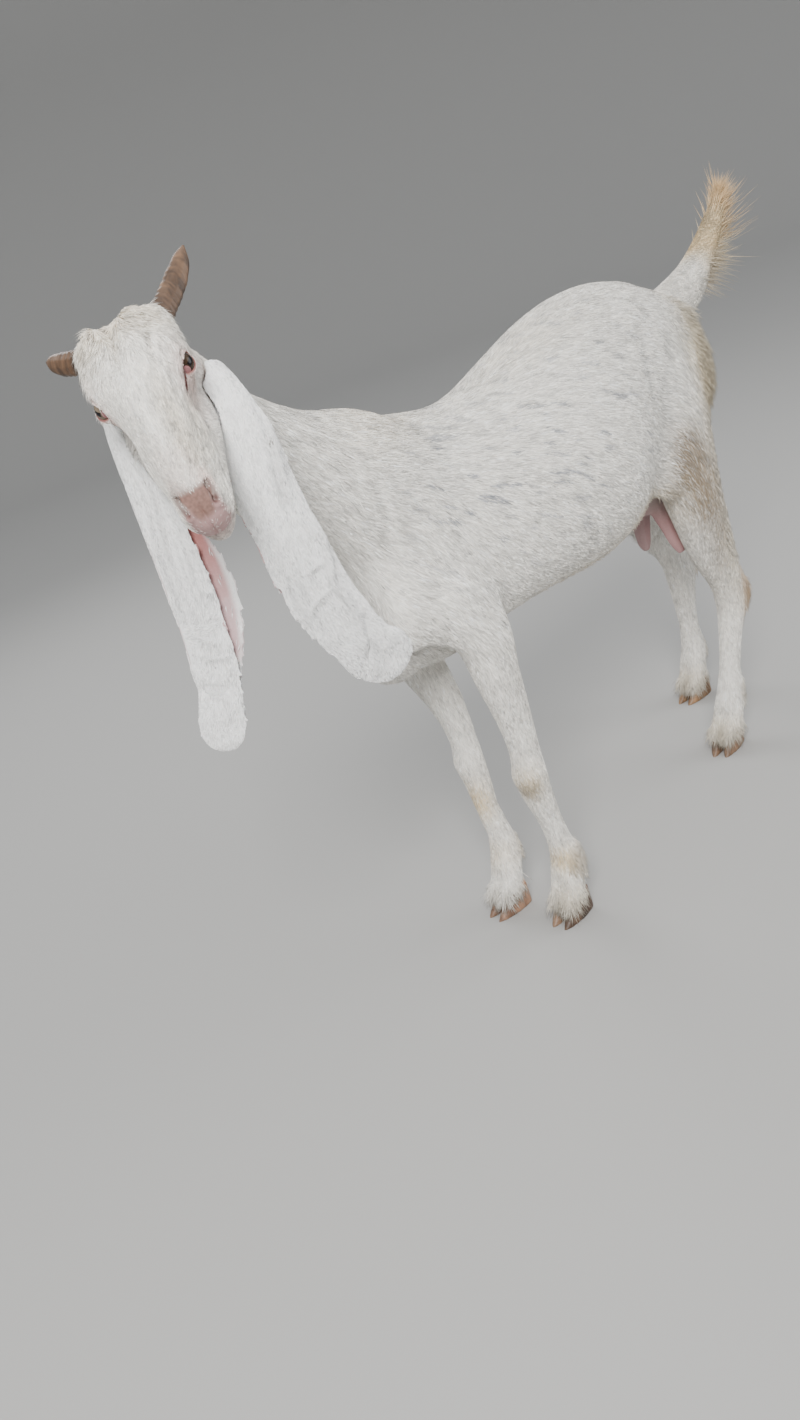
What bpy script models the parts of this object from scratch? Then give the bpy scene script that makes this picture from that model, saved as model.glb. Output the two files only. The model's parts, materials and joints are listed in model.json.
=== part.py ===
"""Gulabi goat doe, standing with her head turned to her left: a life-size still model.

Metres, +Z up. She faces -X, her left side is towards -Y, and her hooves stand on Z = 0.
The flesh is modelled as overlapping forms, fused and smoothed, then parted by thin cuts.
"""
import math
import random

import bmesh
import bpy
import numpy as np
from mathutils import Matrix, Vector

# Driving sizes
SPINE_Y = 0.030              # the trunk's middle plane, between the four feet
EAR_THICK = 0.0045
HORN_BASE = 0.0150           # half the horn's broad side at its root
EYE_RADIUS = 0.0150
HOOF_HEIGHT = 0.034
GAP = 0.0003                 # clear space between touching pieces

# Fineness
BODY_VOXEL = 0.0045
HEAD_VOXEL = 0.0021
BODY_FACES = 4000
HEAD_FACES = 2900

# Where the head is and how it is turned
POLL = Vector((-0.5820, -0.0565, 1.0250))
HEAD_TURN = math.radians(51.4)    # from straight ahead towards her left
FACE_SLOPE = math.radians(55.2)   # below level
HEAD_TILT = math.radians(9.3)     # her left eye is the higher one

SIDEWAYS = Vector((0.0, 1.0, 0.0))
UPWARDS = Vector((0.0, 0.0, 1.0))


def head_axes():
    """Columns: down the face, out of the forehead, and towards her left."""
    ahead = Vector((-math.cos(HEAD_TURN), -math.sin(HEAD_TURN), 0.0))
    left = UPWARDS.cross(ahead)
    left = (left * math.cos(HEAD_TILT) + UPWARDS * math.sin(HEAD_TILT)).normalized()
    down = ahead * math.cos(FACE_SLOPE) - UPWARDS * math.sin(FACE_SLOPE)
    down = (down - left * down.dot(left)).normalized()
    out = down.cross(left).normalized()
    return Matrix((down, out, left)).transposed()


HEAD = head_axes()


def on_head(along, out, left):
    """A point of the head, given along the face from the poll, out of it and to her left."""
    return POLL + HEAD @ Vector((along, out, left))


# Plain helpers

def clear_scene():
    for thing in list(bpy.data.objects):
        bpy.data.objects.remove(thing, do_unlink=True)


def collection(name, hidden=False):
    made = bpy.data.collections.new(name)
    made.hide_render = hidden
    bpy.context.scene.collection.children.link(made)
    return made


def material(name, colour, roughness, metallic=0.0):
    made = bpy.data.materials.new(name)
    made.use_nodes = True
    shader = made.node_tree.nodes["Principled BSDF"]
    shader.inputs["Base Color"].default_value = (*colour, 1.0)
    shader.inputs["Roughness"].default_value = roughness
    shader.inputs["Metallic"].default_value = metallic
    made.diffuse_color = (*colour, 1.0)
    return made


def mesh_object(name, points, faces, group):
    mesh = bpy.data.meshes.new(name)
    mesh.from_pydata([tuple(p) for p in points], [], faces)
    mesh.validate()
    made = bpy.data.objects.new(name, mesh)
    group.objects.link(made)
    return made


def facing_out(made):
    """Turns the faces of a closed mesh outwards."""
    cage = bmesh.new()
    cage.from_mesh(made.data)
    bmesh.ops.recalc_face_normals(cage, faces=cage.faces)
    cage.to_mesh(made.data)
    cage.free()
    return made


def apply_modifiers(made):
    graph = bpy.context.evaluated_depsgraph_get()
    mesh = bpy.data.meshes.new_from_object(made.evaluated_get(graph))
    made.modifiers.clear()
    made.data = mesh
    return made


def remove(made):
    bpy.data.objects.remove(made, do_unlink=True)


def spaced(rows, steps):
    """Rows of numbers filled in smoothly between the given ones, by Catmull-Rom."""
    rows = np.array(rows, float)
    ends = np.vstack((2 * rows[0] - rows[1], rows, 2 * rows[-1] - rows[-2]))
    filled = []
    for k in range(len(rows) - 1):
        before, here, there, after = ends[k:k + 4]
        for step in range(steps):
            t = step / steps
            filled.append(0.5 * (2 * here + (there - before) * t
                                 + (2 * before - 5 * here + 4 * there - after) * t ** 2
                                 + (3 * here - before - 3 * there + after) * t ** 3))
    filled.append(rows[-1])
    return np.array(filled)


def rounded(wave, wide, power):
    """A sine or cosine bent so that a ring is squarer above 2 and sharper below it."""
    return math.copysign(abs(wave) ** (2.0 / power), wave) * wide


def loft(name, rings, group):
    """One closed skin over rings that all have the same number of points."""
    count = len(rings[0])
    points = [p for ring in rings for p in ring]
    faces = []
    for k in range(len(rings) - 1):
        for j in range(count):
            here, there = k * count + j, k * count + (j + 1) % count
            faces.append((here, there, there + count, here + count))
    for first, turn in ((0, -1), ((len(rings) - 1) * count, 1)):
        middle = sum((Vector(p) for p in points[first:first + count]), Vector()) / count
        points.append(middle)
        for j in range(count):
            corner = (first + j, first + (j + 1) % count, len(points) - 1)
            faces.append(corner[::turn])
    return facing_out(mesh_object(name, points, faces, group))


def tube(name, stations, side, group, steps=4, around=18, power=2.0):
    """A limb: each station is a centre, half its breadth along side and half its depth."""
    rows = spaced(stations, steps)
    centres = rows[:, :3]
    rings = []
    for k, row in enumerate(rows):
        low, high = max(k - 1, 0), min(k + 1, len(rows) - 1)
        tangent = Vector(centres[high] - centres[low]).normalized()
        across = (side - tangent * side.dot(tangent)).normalized()
        deep = tangent.cross(across)
        ring = []
        for j in range(around):
            turn = 2 * math.pi * j / around
            ring.append(Vector(row[:3]) + across * rounded(math.cos(turn), row[3], power)
                        + deep * rounded(math.sin(turn), row[4], power))
        rings.append(ring)
    return loft(name, rings, group)


def egg(name, centre, radii, group, axes=None, segments=20):
    """An ellipsoid whose radii lie along the columns of axes."""
    cage = bmesh.new()
    bmesh.ops.create_uvsphere(cage, u_segments=segments, v_segments=segments // 2, radius=1.0)
    mesh = bpy.data.meshes.new(name)
    cage.to_mesh(mesh)
    cage.free()
    turn = (axes or Matrix.Identity(3)) @ Matrix.Diagonal(radii)
    mesh.transform(Matrix.Translation(centre) @ turn.to_4x4())
    made = bpy.data.objects.new(name, mesh)
    group.objects.link(made)
    return facing_out(made)


def softened(made, height, times):
    """Smooths what lies above a height, so that the big muscles run into each other."""
    high = made.vertex_groups.new(name="high")
    for v in made.data.vertices:
        share = min(max((v.co.z - height) / 0.06, 0.0), 1.0)
        if share > 0.0:
            high.add([v.index], share, "REPLACE")
    soft = made.modifiers.new("softer", "SMOOTH")
    soft.factor = 0.5
    soft.iterations = times
    soft.vertex_group = high.name
    return apply_modifiers(made)


def fused(name, pieces, voxel, smooth, group):
    """Overlapping closed pieces made into one skin and smoothed."""
    whole = bmesh.new()
    for piece in pieces:
        whole.from_mesh(piece.data)
        remove(piece)
    mesh = bpy.data.meshes.new(name)
    whole.to_mesh(mesh)
    whole.free()
    made = bpy.data.objects.new(name, mesh)
    group.objects.link(made)
    grid = made.modifiers.new("one skin", "REMESH")
    grid.mode = "VOXEL"
    grid.voxel_size = voxel
    soft = made.modifiers.new("smooth", "SMOOTH")
    soft.factor = 0.5
    soft.iterations = smooth
    return apply_modifiers(made)


def lightened(made, faces):
    """Fewer triangles, kept where the form bends most."""
    cage = bmesh.new()
    cage.from_mesh(made.data)
    bmesh.ops.triangulate(cage, faces=cage.faces)
    cage.to_mesh(made.data)
    cage.free()
    fewer = made.modifiers.new("fewer", "DECIMATE")
    fewer.ratio = min(1.0, faces / len(made.data.polygons))
    return apply_modifiers(made)


def boolean(made, others, operation, keep=False, solver="EXACT"):
    """Cuts others out of made, or joins them to it, and drops them unless they are kept."""
    tools = bpy.data.collections.new("tools of " + made.name)
    for other in others:
        tools.objects.link(other)
    act = made.modifiers.new(operation.lower(), "BOOLEAN")
    act.operation = operation
    act.operand_type = "COLLECTION"
    act.collection = tools
    act.solver = solver
    apply_modifiers(made)
    bpy.data.collections.remove(tools)
    if not keep:
        for other in others:
            remove(other)
    return largest(made)


def loose_parts(mesh):
    """Vertex indices of each connected part."""
    owner = list(range(len(mesh.vertices)))

    def root(i):
        while owner[i] != i:
            owner[i] = owner[owner[i]]
            i = owner[i]
        return i

    for edge in mesh.edges:
        a, b = root(edge.vertices[0]), root(edge.vertices[1])
        if a != b:
            owner[a] = b
    parts = {}
    for i in range(len(owner)):
        parts.setdefault(root(i), []).append(i)
    return list(parts.values())


def keep_part(made, part):
    """Leaves only the named vertices and their faces."""
    wanted = set(part)
    cage = bmesh.new()
    cage.from_mesh(made.data)
    cage.verts.ensure_lookup_table()
    doomed = [v for v in cage.verts if v.index not in wanted]
    bmesh.ops.delete(cage, geom=doomed, context="VERTS")
    cage.to_mesh(made.data)
    cage.free()
    return made


def reach(mesh, part):
    """How far a connected part spreads, to tell the main surface from scraps."""
    points = np.array([mesh.vertices[i].co for i in part])
    return float(np.linalg.norm(points.max(0) - points.min(0)))


def largest(made):
    """Keeps the largest closed surface of a mesh."""
    parts = loose_parts(made.data)
    if len(parts) > 1:
        keep_part(made, max(parts, key=lambda part: reach(made.data, part)))
    return made


def swollen(made, by, group):
    """A copy grown by a little, so that what is cut by it keeps a gap."""
    copy = bpy.data.objects.new(made.name + " grown", made.data.copy())
    group.objects.link(copy)
    grow = copy.modifiers.new("grow", "DISPLACE")
    grow.strength = by
    grow.mid_level = 0.0
    return apply_modifiers(copy)


def trimmed(made, neighbours):
    """Takes the grown neighbours out of a solid, so that it meets them face to face."""
    return boolean(made, neighbours, "DIFFERENCE", keep=True, solver="MANIFOLD")


def block(name, centre, axes, sizes, group):
    """A box whose sides run along the columns of axes."""
    cage = bmesh.new()
    bmesh.ops.create_cube(cage, size=1.0)
    mesh = bpy.data.meshes.new(name)
    cage.to_mesh(mesh)
    cage.free()
    mesh.transform(Matrix.Translation(centre) @ (axes @ Matrix.Diagonal(sizes)).to_4x4())
    made = bpy.data.objects.new(name, mesh)
    group.objects.link(made)
    return facing_out(made)


def plane_axes(normal, along):
    """Axes with the last one along normal and the first near along."""
    normal = normal.normalized()
    first = (along - normal * along.dot(normal)).normalized()
    return Matrix((first, normal.cross(first), normal)).transposed()


# Trunk

# place along the back, top, underline, half breadth, height share of the widest place,
# ridge of the back, roundness of the belly
TRUNK = (
    (-0.375, 0.655, 0.585, 0.022, 0.50, 2.0, 2.0),
    (-0.350, 0.720, 0.520, 0.058, 0.48, 2.0, 2.0),
    (-0.300, 0.779, 0.470, 0.084, 0.46, 1.9, 2.1),
    (-0.220, 0.800, 0.454, 0.096, 0.45, 1.7, 2.1),
    (-0.120, 0.780, 0.463, 0.117, 0.46, 1.8, 2.2),
    (-0.030, 0.783, 0.463, 0.138, 0.47, 1.9, 2.3),
    (0.070, 0.813, 0.455, 0.151, 0.45, 1.8, 2.3),
    (0.150, 0.836, 0.458, 0.146, 0.44, 1.7, 2.2),
    (0.235, 0.844, 0.482, 0.120, 0.50, 1.8, 2.1),
    (0.320, 0.836, 0.525, 0.096, 0.60, 2.0, 2.0),
    (0.400, 0.806, 0.575, 0.082, 0.62, 2.1, 2.0),
    (0.460, 0.780, 0.620, 0.062, 0.60, 2.1, 2.0),
    (0.498, 0.752, 0.665, 0.032, 0.55, 2.0, 2.0),
)


def trunk_ring(row, around=28):
    x, top, bottom, half, share, ridge, belly = row
    widest = bottom + (top - bottom) * share
    ring = []
    for j in range(around):
        turn = 2 * math.pi * j / around
        high = math.sin(turn) > 0
        power = ridge if high else belly
        tall = top - widest if high else widest - bottom
        ring.append(Vector((x, SPINE_Y + rounded(math.cos(turn), half, power),
                            widest + rounded(math.sin(turn), tall, power))))
    return ring


def trunk_forms(group):
    forms = [loft("trunk", [trunk_ring(row) for row in spaced(TRUNK, 4)], group)]
    for side in (-1, 1):
        def at(x, y, z):
            return Vector((x, SPINE_Y + side * y, z))
        lean = Matrix.Rotation(side * 0.16, 3, "X")
        forms += [
            egg("shoulder blade", at(-0.235, 0.062, 0.665), (0.072, 0.030, 0.120), group, lean),
            egg("point of the shoulder", at(-0.318, 0.060, 0.570), (0.045, 0.034, 0.060), group),
            egg("upper arm", at(-0.255, 0.072, 0.555), (0.070, 0.030, 0.062), group, lean),
            egg("hip bone", at(0.262, 0.066, 0.772), (0.052, 0.032, 0.032), group),
            egg("pin bone", at(0.464, 0.042, 0.722), (0.036, 0.022, 0.034), group),
            egg("buttock", at(0.425, 0.052, 0.655), (0.066, 0.036, 0.090), group),
            egg("flank fold", at(0.262, 0.098, 0.545), (0.062, 0.022, 0.060), group),
        ]
    forms.append(egg("brisket", Vector((-0.312, SPINE_Y, 0.512)), (0.056, 0.042, 0.052), group))
    forms.append(egg("crest of the rump", Vector((0.296, SPINE_Y, 0.782)),
                     (0.138, 0.040, 0.052), group))
    return forms


# Neck: centre, half breadth, half depth
NECK = (
    (-0.235, SPINE_Y, 0.672, 0.088, 0.119),
    (-0.303, 0.026, 0.726, 0.079, 0.112),
    (-0.379, 0.016, 0.778, 0.062, 0.0830),
    (-0.4540, 0.000, 0.840, 0.050, 0.0650),
    (-0.5085, -0.016, 0.894, 0.047, 0.0610),
    (-0.545, -0.030, 0.930, 0.044, 0.0600),
)
NECK_CUT = Vector((-0.478, -0.008, 0.873))       # the throat, where head and neck part
NECK_AXIS = Vector((-0.74, -0.19, 0.645)).normalized()


def neck_form(group):
    return tube("neck", NECK, SIDEWAYS, group, steps=4, around=24)


# Legs

class Leg:
    """One leg: the stations of its column from the trunk down, and where its toes point."""

    def __init__(self, name, column, point, foot, toe_turn, cut, cut_normal):
        self.name = name
        self.column = column
        self.point = point          # the hock or knee swelling: centre and radii
        self.foot = Vector(foot)    # middle of the foot on the floor
        self.toe_turn = math.radians(toe_turn)
        self.cut = Vector(cut)
        self.cut_normal = Vector(cut_normal).normalized()

    @property
    def ahead(self):
        return Vector((-math.cos(self.toe_turn), -math.sin(self.toe_turn), 0.0))

    @property
    def across(self):
        return UPWARDS.cross(self.ahead)


LEGS = (
    Leg("front_left", (
        (-0.262, -0.050, 0.585, 0.030, 0.062),
        (-0.226, -0.056, 0.500, 0.034, 0.050),
        (-0.222, -0.056, 0.430, 0.029, 0.039),
        (-0.212, -0.052, 0.360, 0.025, 0.030),
        (-0.209, -0.050, 0.305, 0.023, 0.025),
        (-0.212, -0.050, 0.262, 0.0260, 0.0265),
        (-0.208, -0.047, 0.225, 0.024, 0.024),
        (-0.198, -0.045, 0.180, 0.019, 0.020),
        (-0.190, -0.043, 0.135, 0.019, 0.021),
        (-0.184, -0.041, 0.098, 0.025, 0.026),
        (-0.190, -0.040, 0.070, 0.026, 0.026),
    ), ((-0.224, -0.050, 0.262), (0.019, 0.024, 0.025)),
        (-0.205, -0.038, 0.0), 3, (-0.215, -0.052, 0.4786), (0.0, 0.49, 0.872)),
    Leg("front_right", (
        (-0.262, 0.112, 0.585, 0.030, 0.062),
        (-0.222, 0.110, 0.500, 0.034, 0.050),
        (-0.210, 0.104, 0.430, 0.029, 0.039),
        (-0.198, 0.091, 0.360, 0.0245, 0.029),
        (-0.198, 0.082, 0.305, 0.0215, 0.0235),
        (-0.203, 0.078, 0.262, 0.0240, 0.0245),
        (-0.201, 0.077, 0.225, 0.0220, 0.0225),
        (-0.200, 0.077, 0.180, 0.019, 0.020),
        (-0.196, 0.074, 0.135, 0.019, 0.021),
        (-0.196, 0.072, 0.098, 0.025, 0.026),
        (-0.206, 0.071, 0.070, 0.026, 0.026),
    ), ((-0.213, 0.078, 0.262), (0.018, 0.022, 0.023)),
        (-0.224, 0.072, 0.0), -6, (-0.215, 0.112, 0.4786), (0.0, -0.49, 0.872)),
    Leg("rear_left", (
        (0.395, -0.012, 0.720, 0.036, 0.070),
        (0.352, -0.034, 0.635, 0.044, 0.100),
        (0.328, -0.050, 0.540, 0.042, 0.088),
        (0.336, -0.051, 0.455, 0.039, 0.068),
        (0.360, -0.045, 0.375, 0.035, 0.055),
        (0.384, -0.044, 0.305, 0.027, 0.041),
        (0.388, -0.043, 0.250, 0.025, 0.034),
        (0.372, -0.041, 0.205, 0.022, 0.026),
        (0.352, -0.039, 0.150, 0.019, 0.021),
        (0.338, -0.036, 0.098, 0.025, 0.027),
        (0.326, -0.034, 0.070, 0.026, 0.027),
    ), ((0.421, -0.044, 0.262), (0.018, 0.016, 0.034)),
        (0.303, -0.028, 0.0), 8, (0.350, -0.050, 0.560), (-0.30, 0.62, 0.70)),
    Leg("rear_right", (
        (0.400, 0.072, 0.720, 0.036, 0.070),
        (0.372, 0.098, 0.635, 0.044, 0.100),
        (0.373, 0.113, 0.540, 0.042, 0.088),
        (0.410, 0.119, 0.455, 0.036, 0.066),
        (0.456, 0.121, 0.375, 0.029, 0.050),
        (0.492, 0.123, 0.305, 0.024, 0.038),
        (0.502, 0.125, 0.250, 0.025, 0.034),
        (0.499, 0.127, 0.205, 0.022, 0.026),
        (0.499, 0.130, 0.150, 0.019, 0.021),
        (0.501, 0.133, 0.098, 0.025, 0.027),
        (0.492, 0.135, 0.070, 0.026, 0.027),
    ), ((0.537, 0.124, 0.262), (0.018, 0.016, 0.034)),
        (0.474, 0.138, 0.0), -4, (0.365, 0.116, 0.560), (-0.30, -0.62, 0.70)),
)

TOE_SPREAD = 0.0135       # from the middle of the foot to the middle of a claw
CORONET_SLOPE = math.radians(17)


def coronet(leg):
    """The sloping plane where skin gives way to horn: a point and its upward normal."""
    tilt = leg.ahead * math.sin(CORONET_SLOPE) + UPWARDS * math.cos(CORONET_SLOPE)
    return leg.foot + UPWARDS * HOOF_HEIGHT, tilt


def leg_forms(leg, group):
    forms = [tube(leg.name, leg.column, leg.across, group)]
    centre, radii = leg.point
    forms.append(egg(leg.name + " joint", Vector(centre), radii, group))
    ankle = Vector(leg.column[-1][:3])
    for side in (-1, 1):
        spread = leg.across * TOE_SPREAD * side
        low = leg.foot + UPWARDS * HOOF_HEIGHT * 0.55 + leg.ahead * 0.002
        forms.append(tube(leg.name + " toe", (
            (*(ankle + spread * 0.7 + UPWARDS * 0.022), 0.0135, 0.019),
            (*(ankle + spread * 0.95), 0.0150, 0.021),
            (*((ankle * 0.4 + low * 0.6) + spread), 0.0140, 0.0230),
            (*(low + spread), 0.0128, 0.0270)), leg.across, group, around=14))
        dew = ankle - leg.ahead * 0.024 + spread * 0.95 + UPWARDS * 0.012
        forms.append(egg(leg.name + " dewclaw", dew, (0.008, 0.007, 0.012), group))
    return forms


def claw(leg, side, name, group):
    """One toe of horn: flat sole on the floor, sloping wall, its top on the coronet."""
    point, normal = coronet(leg)
    spread = leg.across * TOE_SPREAD * side
    rows = (    # ahead of the foot's middle, half breadth, height of the wall there
        (-0.0290, 0.0062), (-0.0270, 0.0098), (-0.0180, 0.0118), (0.0000, 0.0122),
        (0.0150, 0.0108), (0.0270, 0.0082), (0.0350, 0.0046), (0.0385, 0.0016))
    cant = 0.0022     # the claws close on each other at the toe
    rings = []
    lean = math.tan(math.radians(38))
    for share in (0.0, 0.10, 0.5, 1.0):
        ring_left, ring_right = [], []
        for ahead, half in rows:
            inward = side * cant * max(ahead, 0.0) / 0.035
            low = leg.foot + spread + leg.ahead * ahead - leg.across * inward
            rise = HOOF_HEIGHT * share
            back = lean * rise * max(ahead, 0.0) / 0.0385
            base = low - leg.ahead * back
            slim = half * (0.90 if share == 0.0 else 1.0 - 0.06 * share)
            plane = (point - base).dot(normal) / normal.z
            top = base + UPWARDS * (plane - GAP)
            spot = base + UPWARDS * (top - base).z * share
            ring_left.append(spot + leg.across * slim)
            ring_right.append(spot - leg.across * slim)
        rings.append(ring_left + ring_right[::-1])
    return loft(name, rings, group)


# Head: along the face, line of the nose, line of the jaw, half breadth, widest share,
# roundness above and below
SKULL = (
    (0.002, -0.046, -0.085, 0.022, 0.50, 2.0, 2.0),
    (0.012, -0.027, -0.104, 0.039, 0.55, 2.0, 2.0),
    (0.032, -0.005, -0.116, 0.052, 0.62, 2.1, 2.0),
    (0.060, 0.009, -0.116, 0.055, 0.66, 2.1, 1.9),
    (0.088, 0.016, -0.108, 0.050, 0.66, 2.1, 1.9),
    (0.110, 0.019, -0.100, 0.040, 0.64, 2.0, 1.9),
    (0.130, 0.020, -0.094, 0.0335, 0.64, 2.0, 2.0),
    (0.155, 0.018, -0.086, 0.0290, 0.62, 2.1, 2.0),
    (0.180, 0.012, -0.078, 0.0255, 0.60, 2.2, 2.1),
    (0.205, 0.002, -0.072, 0.0235, 0.56, 2.3, 2.2),
    (0.226, -0.010, -0.067, 0.0225, 0.52, 2.3, 2.2),
    (0.241, -0.023, -0.061, 0.0190, 0.50, 2.2, 2.1),
    (0.249, -0.036, -0.054, 0.0095, 0.50, 2.0, 2.0),
)
JAW = (   # along the face, top, underside, half breadth
    (0.030, -0.062, -0.128, 0.030),
    (0.060, -0.058, -0.136, 0.041),
    (0.095, -0.054, -0.130, 0.0470),
    (0.130, -0.050, -0.113, 0.0460),
    (0.160, -0.047, -0.100, 0.0400),
    (0.190, -0.046, -0.091, 0.0330),
    (0.215, -0.051, -0.086, 0.0265),
    (0.235, -0.057, -0.082, 0.0185),
    (0.246, -0.063, -0.076, 0.0080),
)
EYE_PLACE = (0.083, -0.034, 0.0395)      # centre of the left eyeball on the head
EYE_LOOK = (0.28, 0.42, 0.86)            # the way the left eye looks
EYE_SLANT = 0.50                         # rise of the front corner against the face


def head_ring(along, top, bottom, half, share=0.5, above=2.0, below=2.0, around=26):
    widest = bottom + (top - bottom) * share
    ring = []
    for j in range(around):
        turn = 2 * math.pi * j / around
        high = math.sin(turn) > 0
        power = above if high else below
        tall = top - widest if high else widest - bottom
        ring.append(on_head(along, widest + rounded(math.sin(turn), tall, power),
                            rounded(math.cos(turn), half, power)))
    return ring


def head_egg(name, place, radii, group):
    return egg(name, on_head(*place), radii, group, HEAD)


def head_forms(group):
    forms = [loft("skull", [head_ring(*row) for row in spaced(SKULL, 4)], group),
             loft("jaw", [head_ring(*row) for row in spaced(JAW, 4)], group)]
    forms += [
        head_egg("forehead", (0.066, -0.014, 0.0), (0.036, 0.024, 0.036), group),
        head_egg("poll", (0.022, -0.040, 0.0), (0.018, 0.018, 0.028), group),
        head_egg("upper lip", (0.234, -0.040, 0.0), (0.0160, 0.0190, 0.0190), group),
        head_egg("chin", (0.232, -0.071, 0.0), (0.0180, 0.0135, 0.0160), group),
    ]
    for side in (-1, 1):
        eye_along, eye_out, eye_left = EYE_PLACE
        forms += [
            head_egg("orbit", (eye_along - 0.004, eye_out - 0.002, side * 0.034),
                     (0.027, 0.024, 0.0185), group),
            head_egg("brow", (eye_along - 0.016, eye_out + 0.016, side * 0.032),
                     (0.020, 0.013, 0.015), group),
            head_egg("lids", (eye_along, eye_out, side * eye_left),
                     (EYE_RADIUS + 0.0026,) * 3, group),
            head_egg("cheek", (0.092, -0.084, side * 0.028), (0.050, 0.038, 0.0175), group),
            head_egg("horn boss", (0.025, -0.040, side * 0.0345), (0.021, 0.021, 0.0185), group),
            head_egg("curl of the poll", (0.0335, -0.020, side * 0.0195),
                     (0.024, 0.020, 0.0188), group),
            head_egg("side of the face", (0.146, -0.046, side * 0.0170),
                     (0.066, 0.031, 0.0190), group),
            head_egg("ear root", (0.058, -0.084, side * 0.040), (0.022, 0.024, 0.017), group),
            head_egg("side of the lip", (0.208, -0.051, side * 0.0180),
                     (0.030, 0.0150, 0.0100), group),
            head_egg("wing of the nostril", (0.219, -0.0230, side * 0.0125),
                     (0.0165, 0.0115, 0.0095), group),
        ]
    return forms


def almond(place, side, group):
    """The opening between the lids: a long low lens on the face of the eyeball."""
    look = Vector((EYE_LOOK[0], EYE_LOOK[1], side * EYE_LOOK[2])).normalized()
    long_way = Vector((1.0, EYE_SLANT, 0.0))
    long_way = (long_way - look * long_way.dot(look)).normalized()
    frame = HEAD @ Matrix((long_way, look.cross(long_way), look)).transposed()
    eyeball = Vector((place[0], place[1], side * place[2]))
    centre = on_head(*(eyeball + look * (EYE_RADIUS + 0.001)))
    return egg("lid opening", centre, (0.0128, 0.0060, 0.0080), group, frame, segments=24)


def mouth_cutter(group):
    """A thin curved slot from one corner of the mouth round the front to the other."""
    rows = []
    back, front, half = 0.196, 0.262, 0.034
    for share in np.linspace(-1.0, 1.0, 25):
        rows.append((back + (front - back) * (1 - share ** 4), half * share))
    thick = 0.0011
    depth = 0.016
    rings = []
    for along, left in rows:
        inward = Vector((0.150 - along, -left * 1.4)).normalized() * depth
        line = -0.0575
        outer = (along, left)
        inner = (along + inward[0], left + inward[1])
        rings.append([on_head(outer[0], line + thick, outer[1]),
                      on_head(outer[0], line - thick, outer[1]),
                      on_head(inner[0], line - thick * 0.4, inner[1]),
                      on_head(inner[0], line + thick * 0.4, inner[1])])
    return loft("mouth line", rings, group)


def nostril_cutter(side, group):
    """A slanting comma of a hole that runs up into the nose."""
    stations = (
        (*on_head(0.2310, -0.0160, side * 0.0250), 0.0022, 0.0062),
        (*on_head(0.2260, -0.0160, side * 0.0175), 0.0026, 0.0066),
        (*on_head(0.2200, -0.0185, side * 0.0125), 0.0024, 0.0056),
        (*on_head(0.2080, -0.0230, side * 0.0090), 0.0016, 0.0030),
    )
    return tube("nostril", stations, HEAD @ Vector((0.35, 0.93, 0.0)), group, around=12)


# Ears

class Ear:
    """A long leaf folded along its length: the line it hangs along and how it is turned."""

    def __init__(self, name, line, fold_to, face_to, rear_flap, breadth=1.0):
        self.name = name
        self.line = line
        self.fold_to = Vector(fold_to)      # towards the folded edge
        self.face_to = Vector(face_to)      # the way its broad side looks
        self.rear_flap = rear_flap          # how far the rear flap shows past the front one
        self.breadth = breadth


EARS = (
    Ear("ear_left", (
        (-0.4990, -0.060, 0.9300), (-0.5045, -0.078, 0.9127), (-0.5070, -0.089, 0.8900),
        (-0.5069, -0.097, 0.8630), (-0.5099, -0.102, 0.8310), (-0.5109, -0.103, 0.7970),
        (-0.5099, -0.105, 0.7600), (-0.5054, -0.107, 0.7220), (-0.4998, -0.109, 0.6810),
        (-0.4902, -0.112, 0.6425), (-0.4710, -0.115, 0.5990), (-0.4510, -0.117, 0.5660),
        (-0.4395, -0.118, 0.5435)),
        (0.80, -0.58, 0.10), (-0.55, -0.83, 0.08), 0.0, breadth=1.34),
    Ear("ear_right", (
        (-0.5790, 0.000, 0.9165), (-0.5800, 0.001, 0.8975), (-0.5798, 0.000, 0.8770),
        (-0.5795, -0.002, 0.8495), (-0.5790, -0.005, 0.8125), (-0.5808, -0.009, 0.7520),
        (-0.5828, -0.011, 0.7100), (-0.5863, -0.011, 0.6690), (-0.5902, -0.012, 0.6320),
        (-0.5950, -0.010, 0.6020), (-0.6030, -0.007, 0.5710), (-0.6130, -0.001, 0.5315)),
        (-0.80, 0.58, 0.0), (-0.50, -0.86, 0.0), 0.024, breadth=0.98),
)
# share of the length, broad way, deep way, opening (degrees)
EAR_SHAPE = (
    (0.000, 0.0340, 0.0300, 30),
    (0.060, 0.0380, 0.0290, 34),
    (0.150, 0.0460, 0.0260, 34),
    (0.300, 0.0560, 0.0220, 32),
    (0.480, 0.0620, 0.0200, 32),
    (0.650, 0.0640, 0.0185, 34),
    (0.780, 0.0640, 0.0165, 38),
    (0.840, 0.0600, 0.0155, 42),
    (0.900, 0.0730, 0.0145, 48),
    (0.950, 0.0710, 0.0130, 54),
    (0.985, 0.0520, 0.0110, 58),
    (1.000, 0.0260, 0.0080, 60),
)


EAR_RINGS = (0.0, 0.06, 0.13, 0.20, 0.28, 0.36, 0.44, 0.52, 0.60, 0.68, 0.75, 0.81, 0.86,
             0.905, 0.945, 0.975, 0.992, 1.0)


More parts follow.
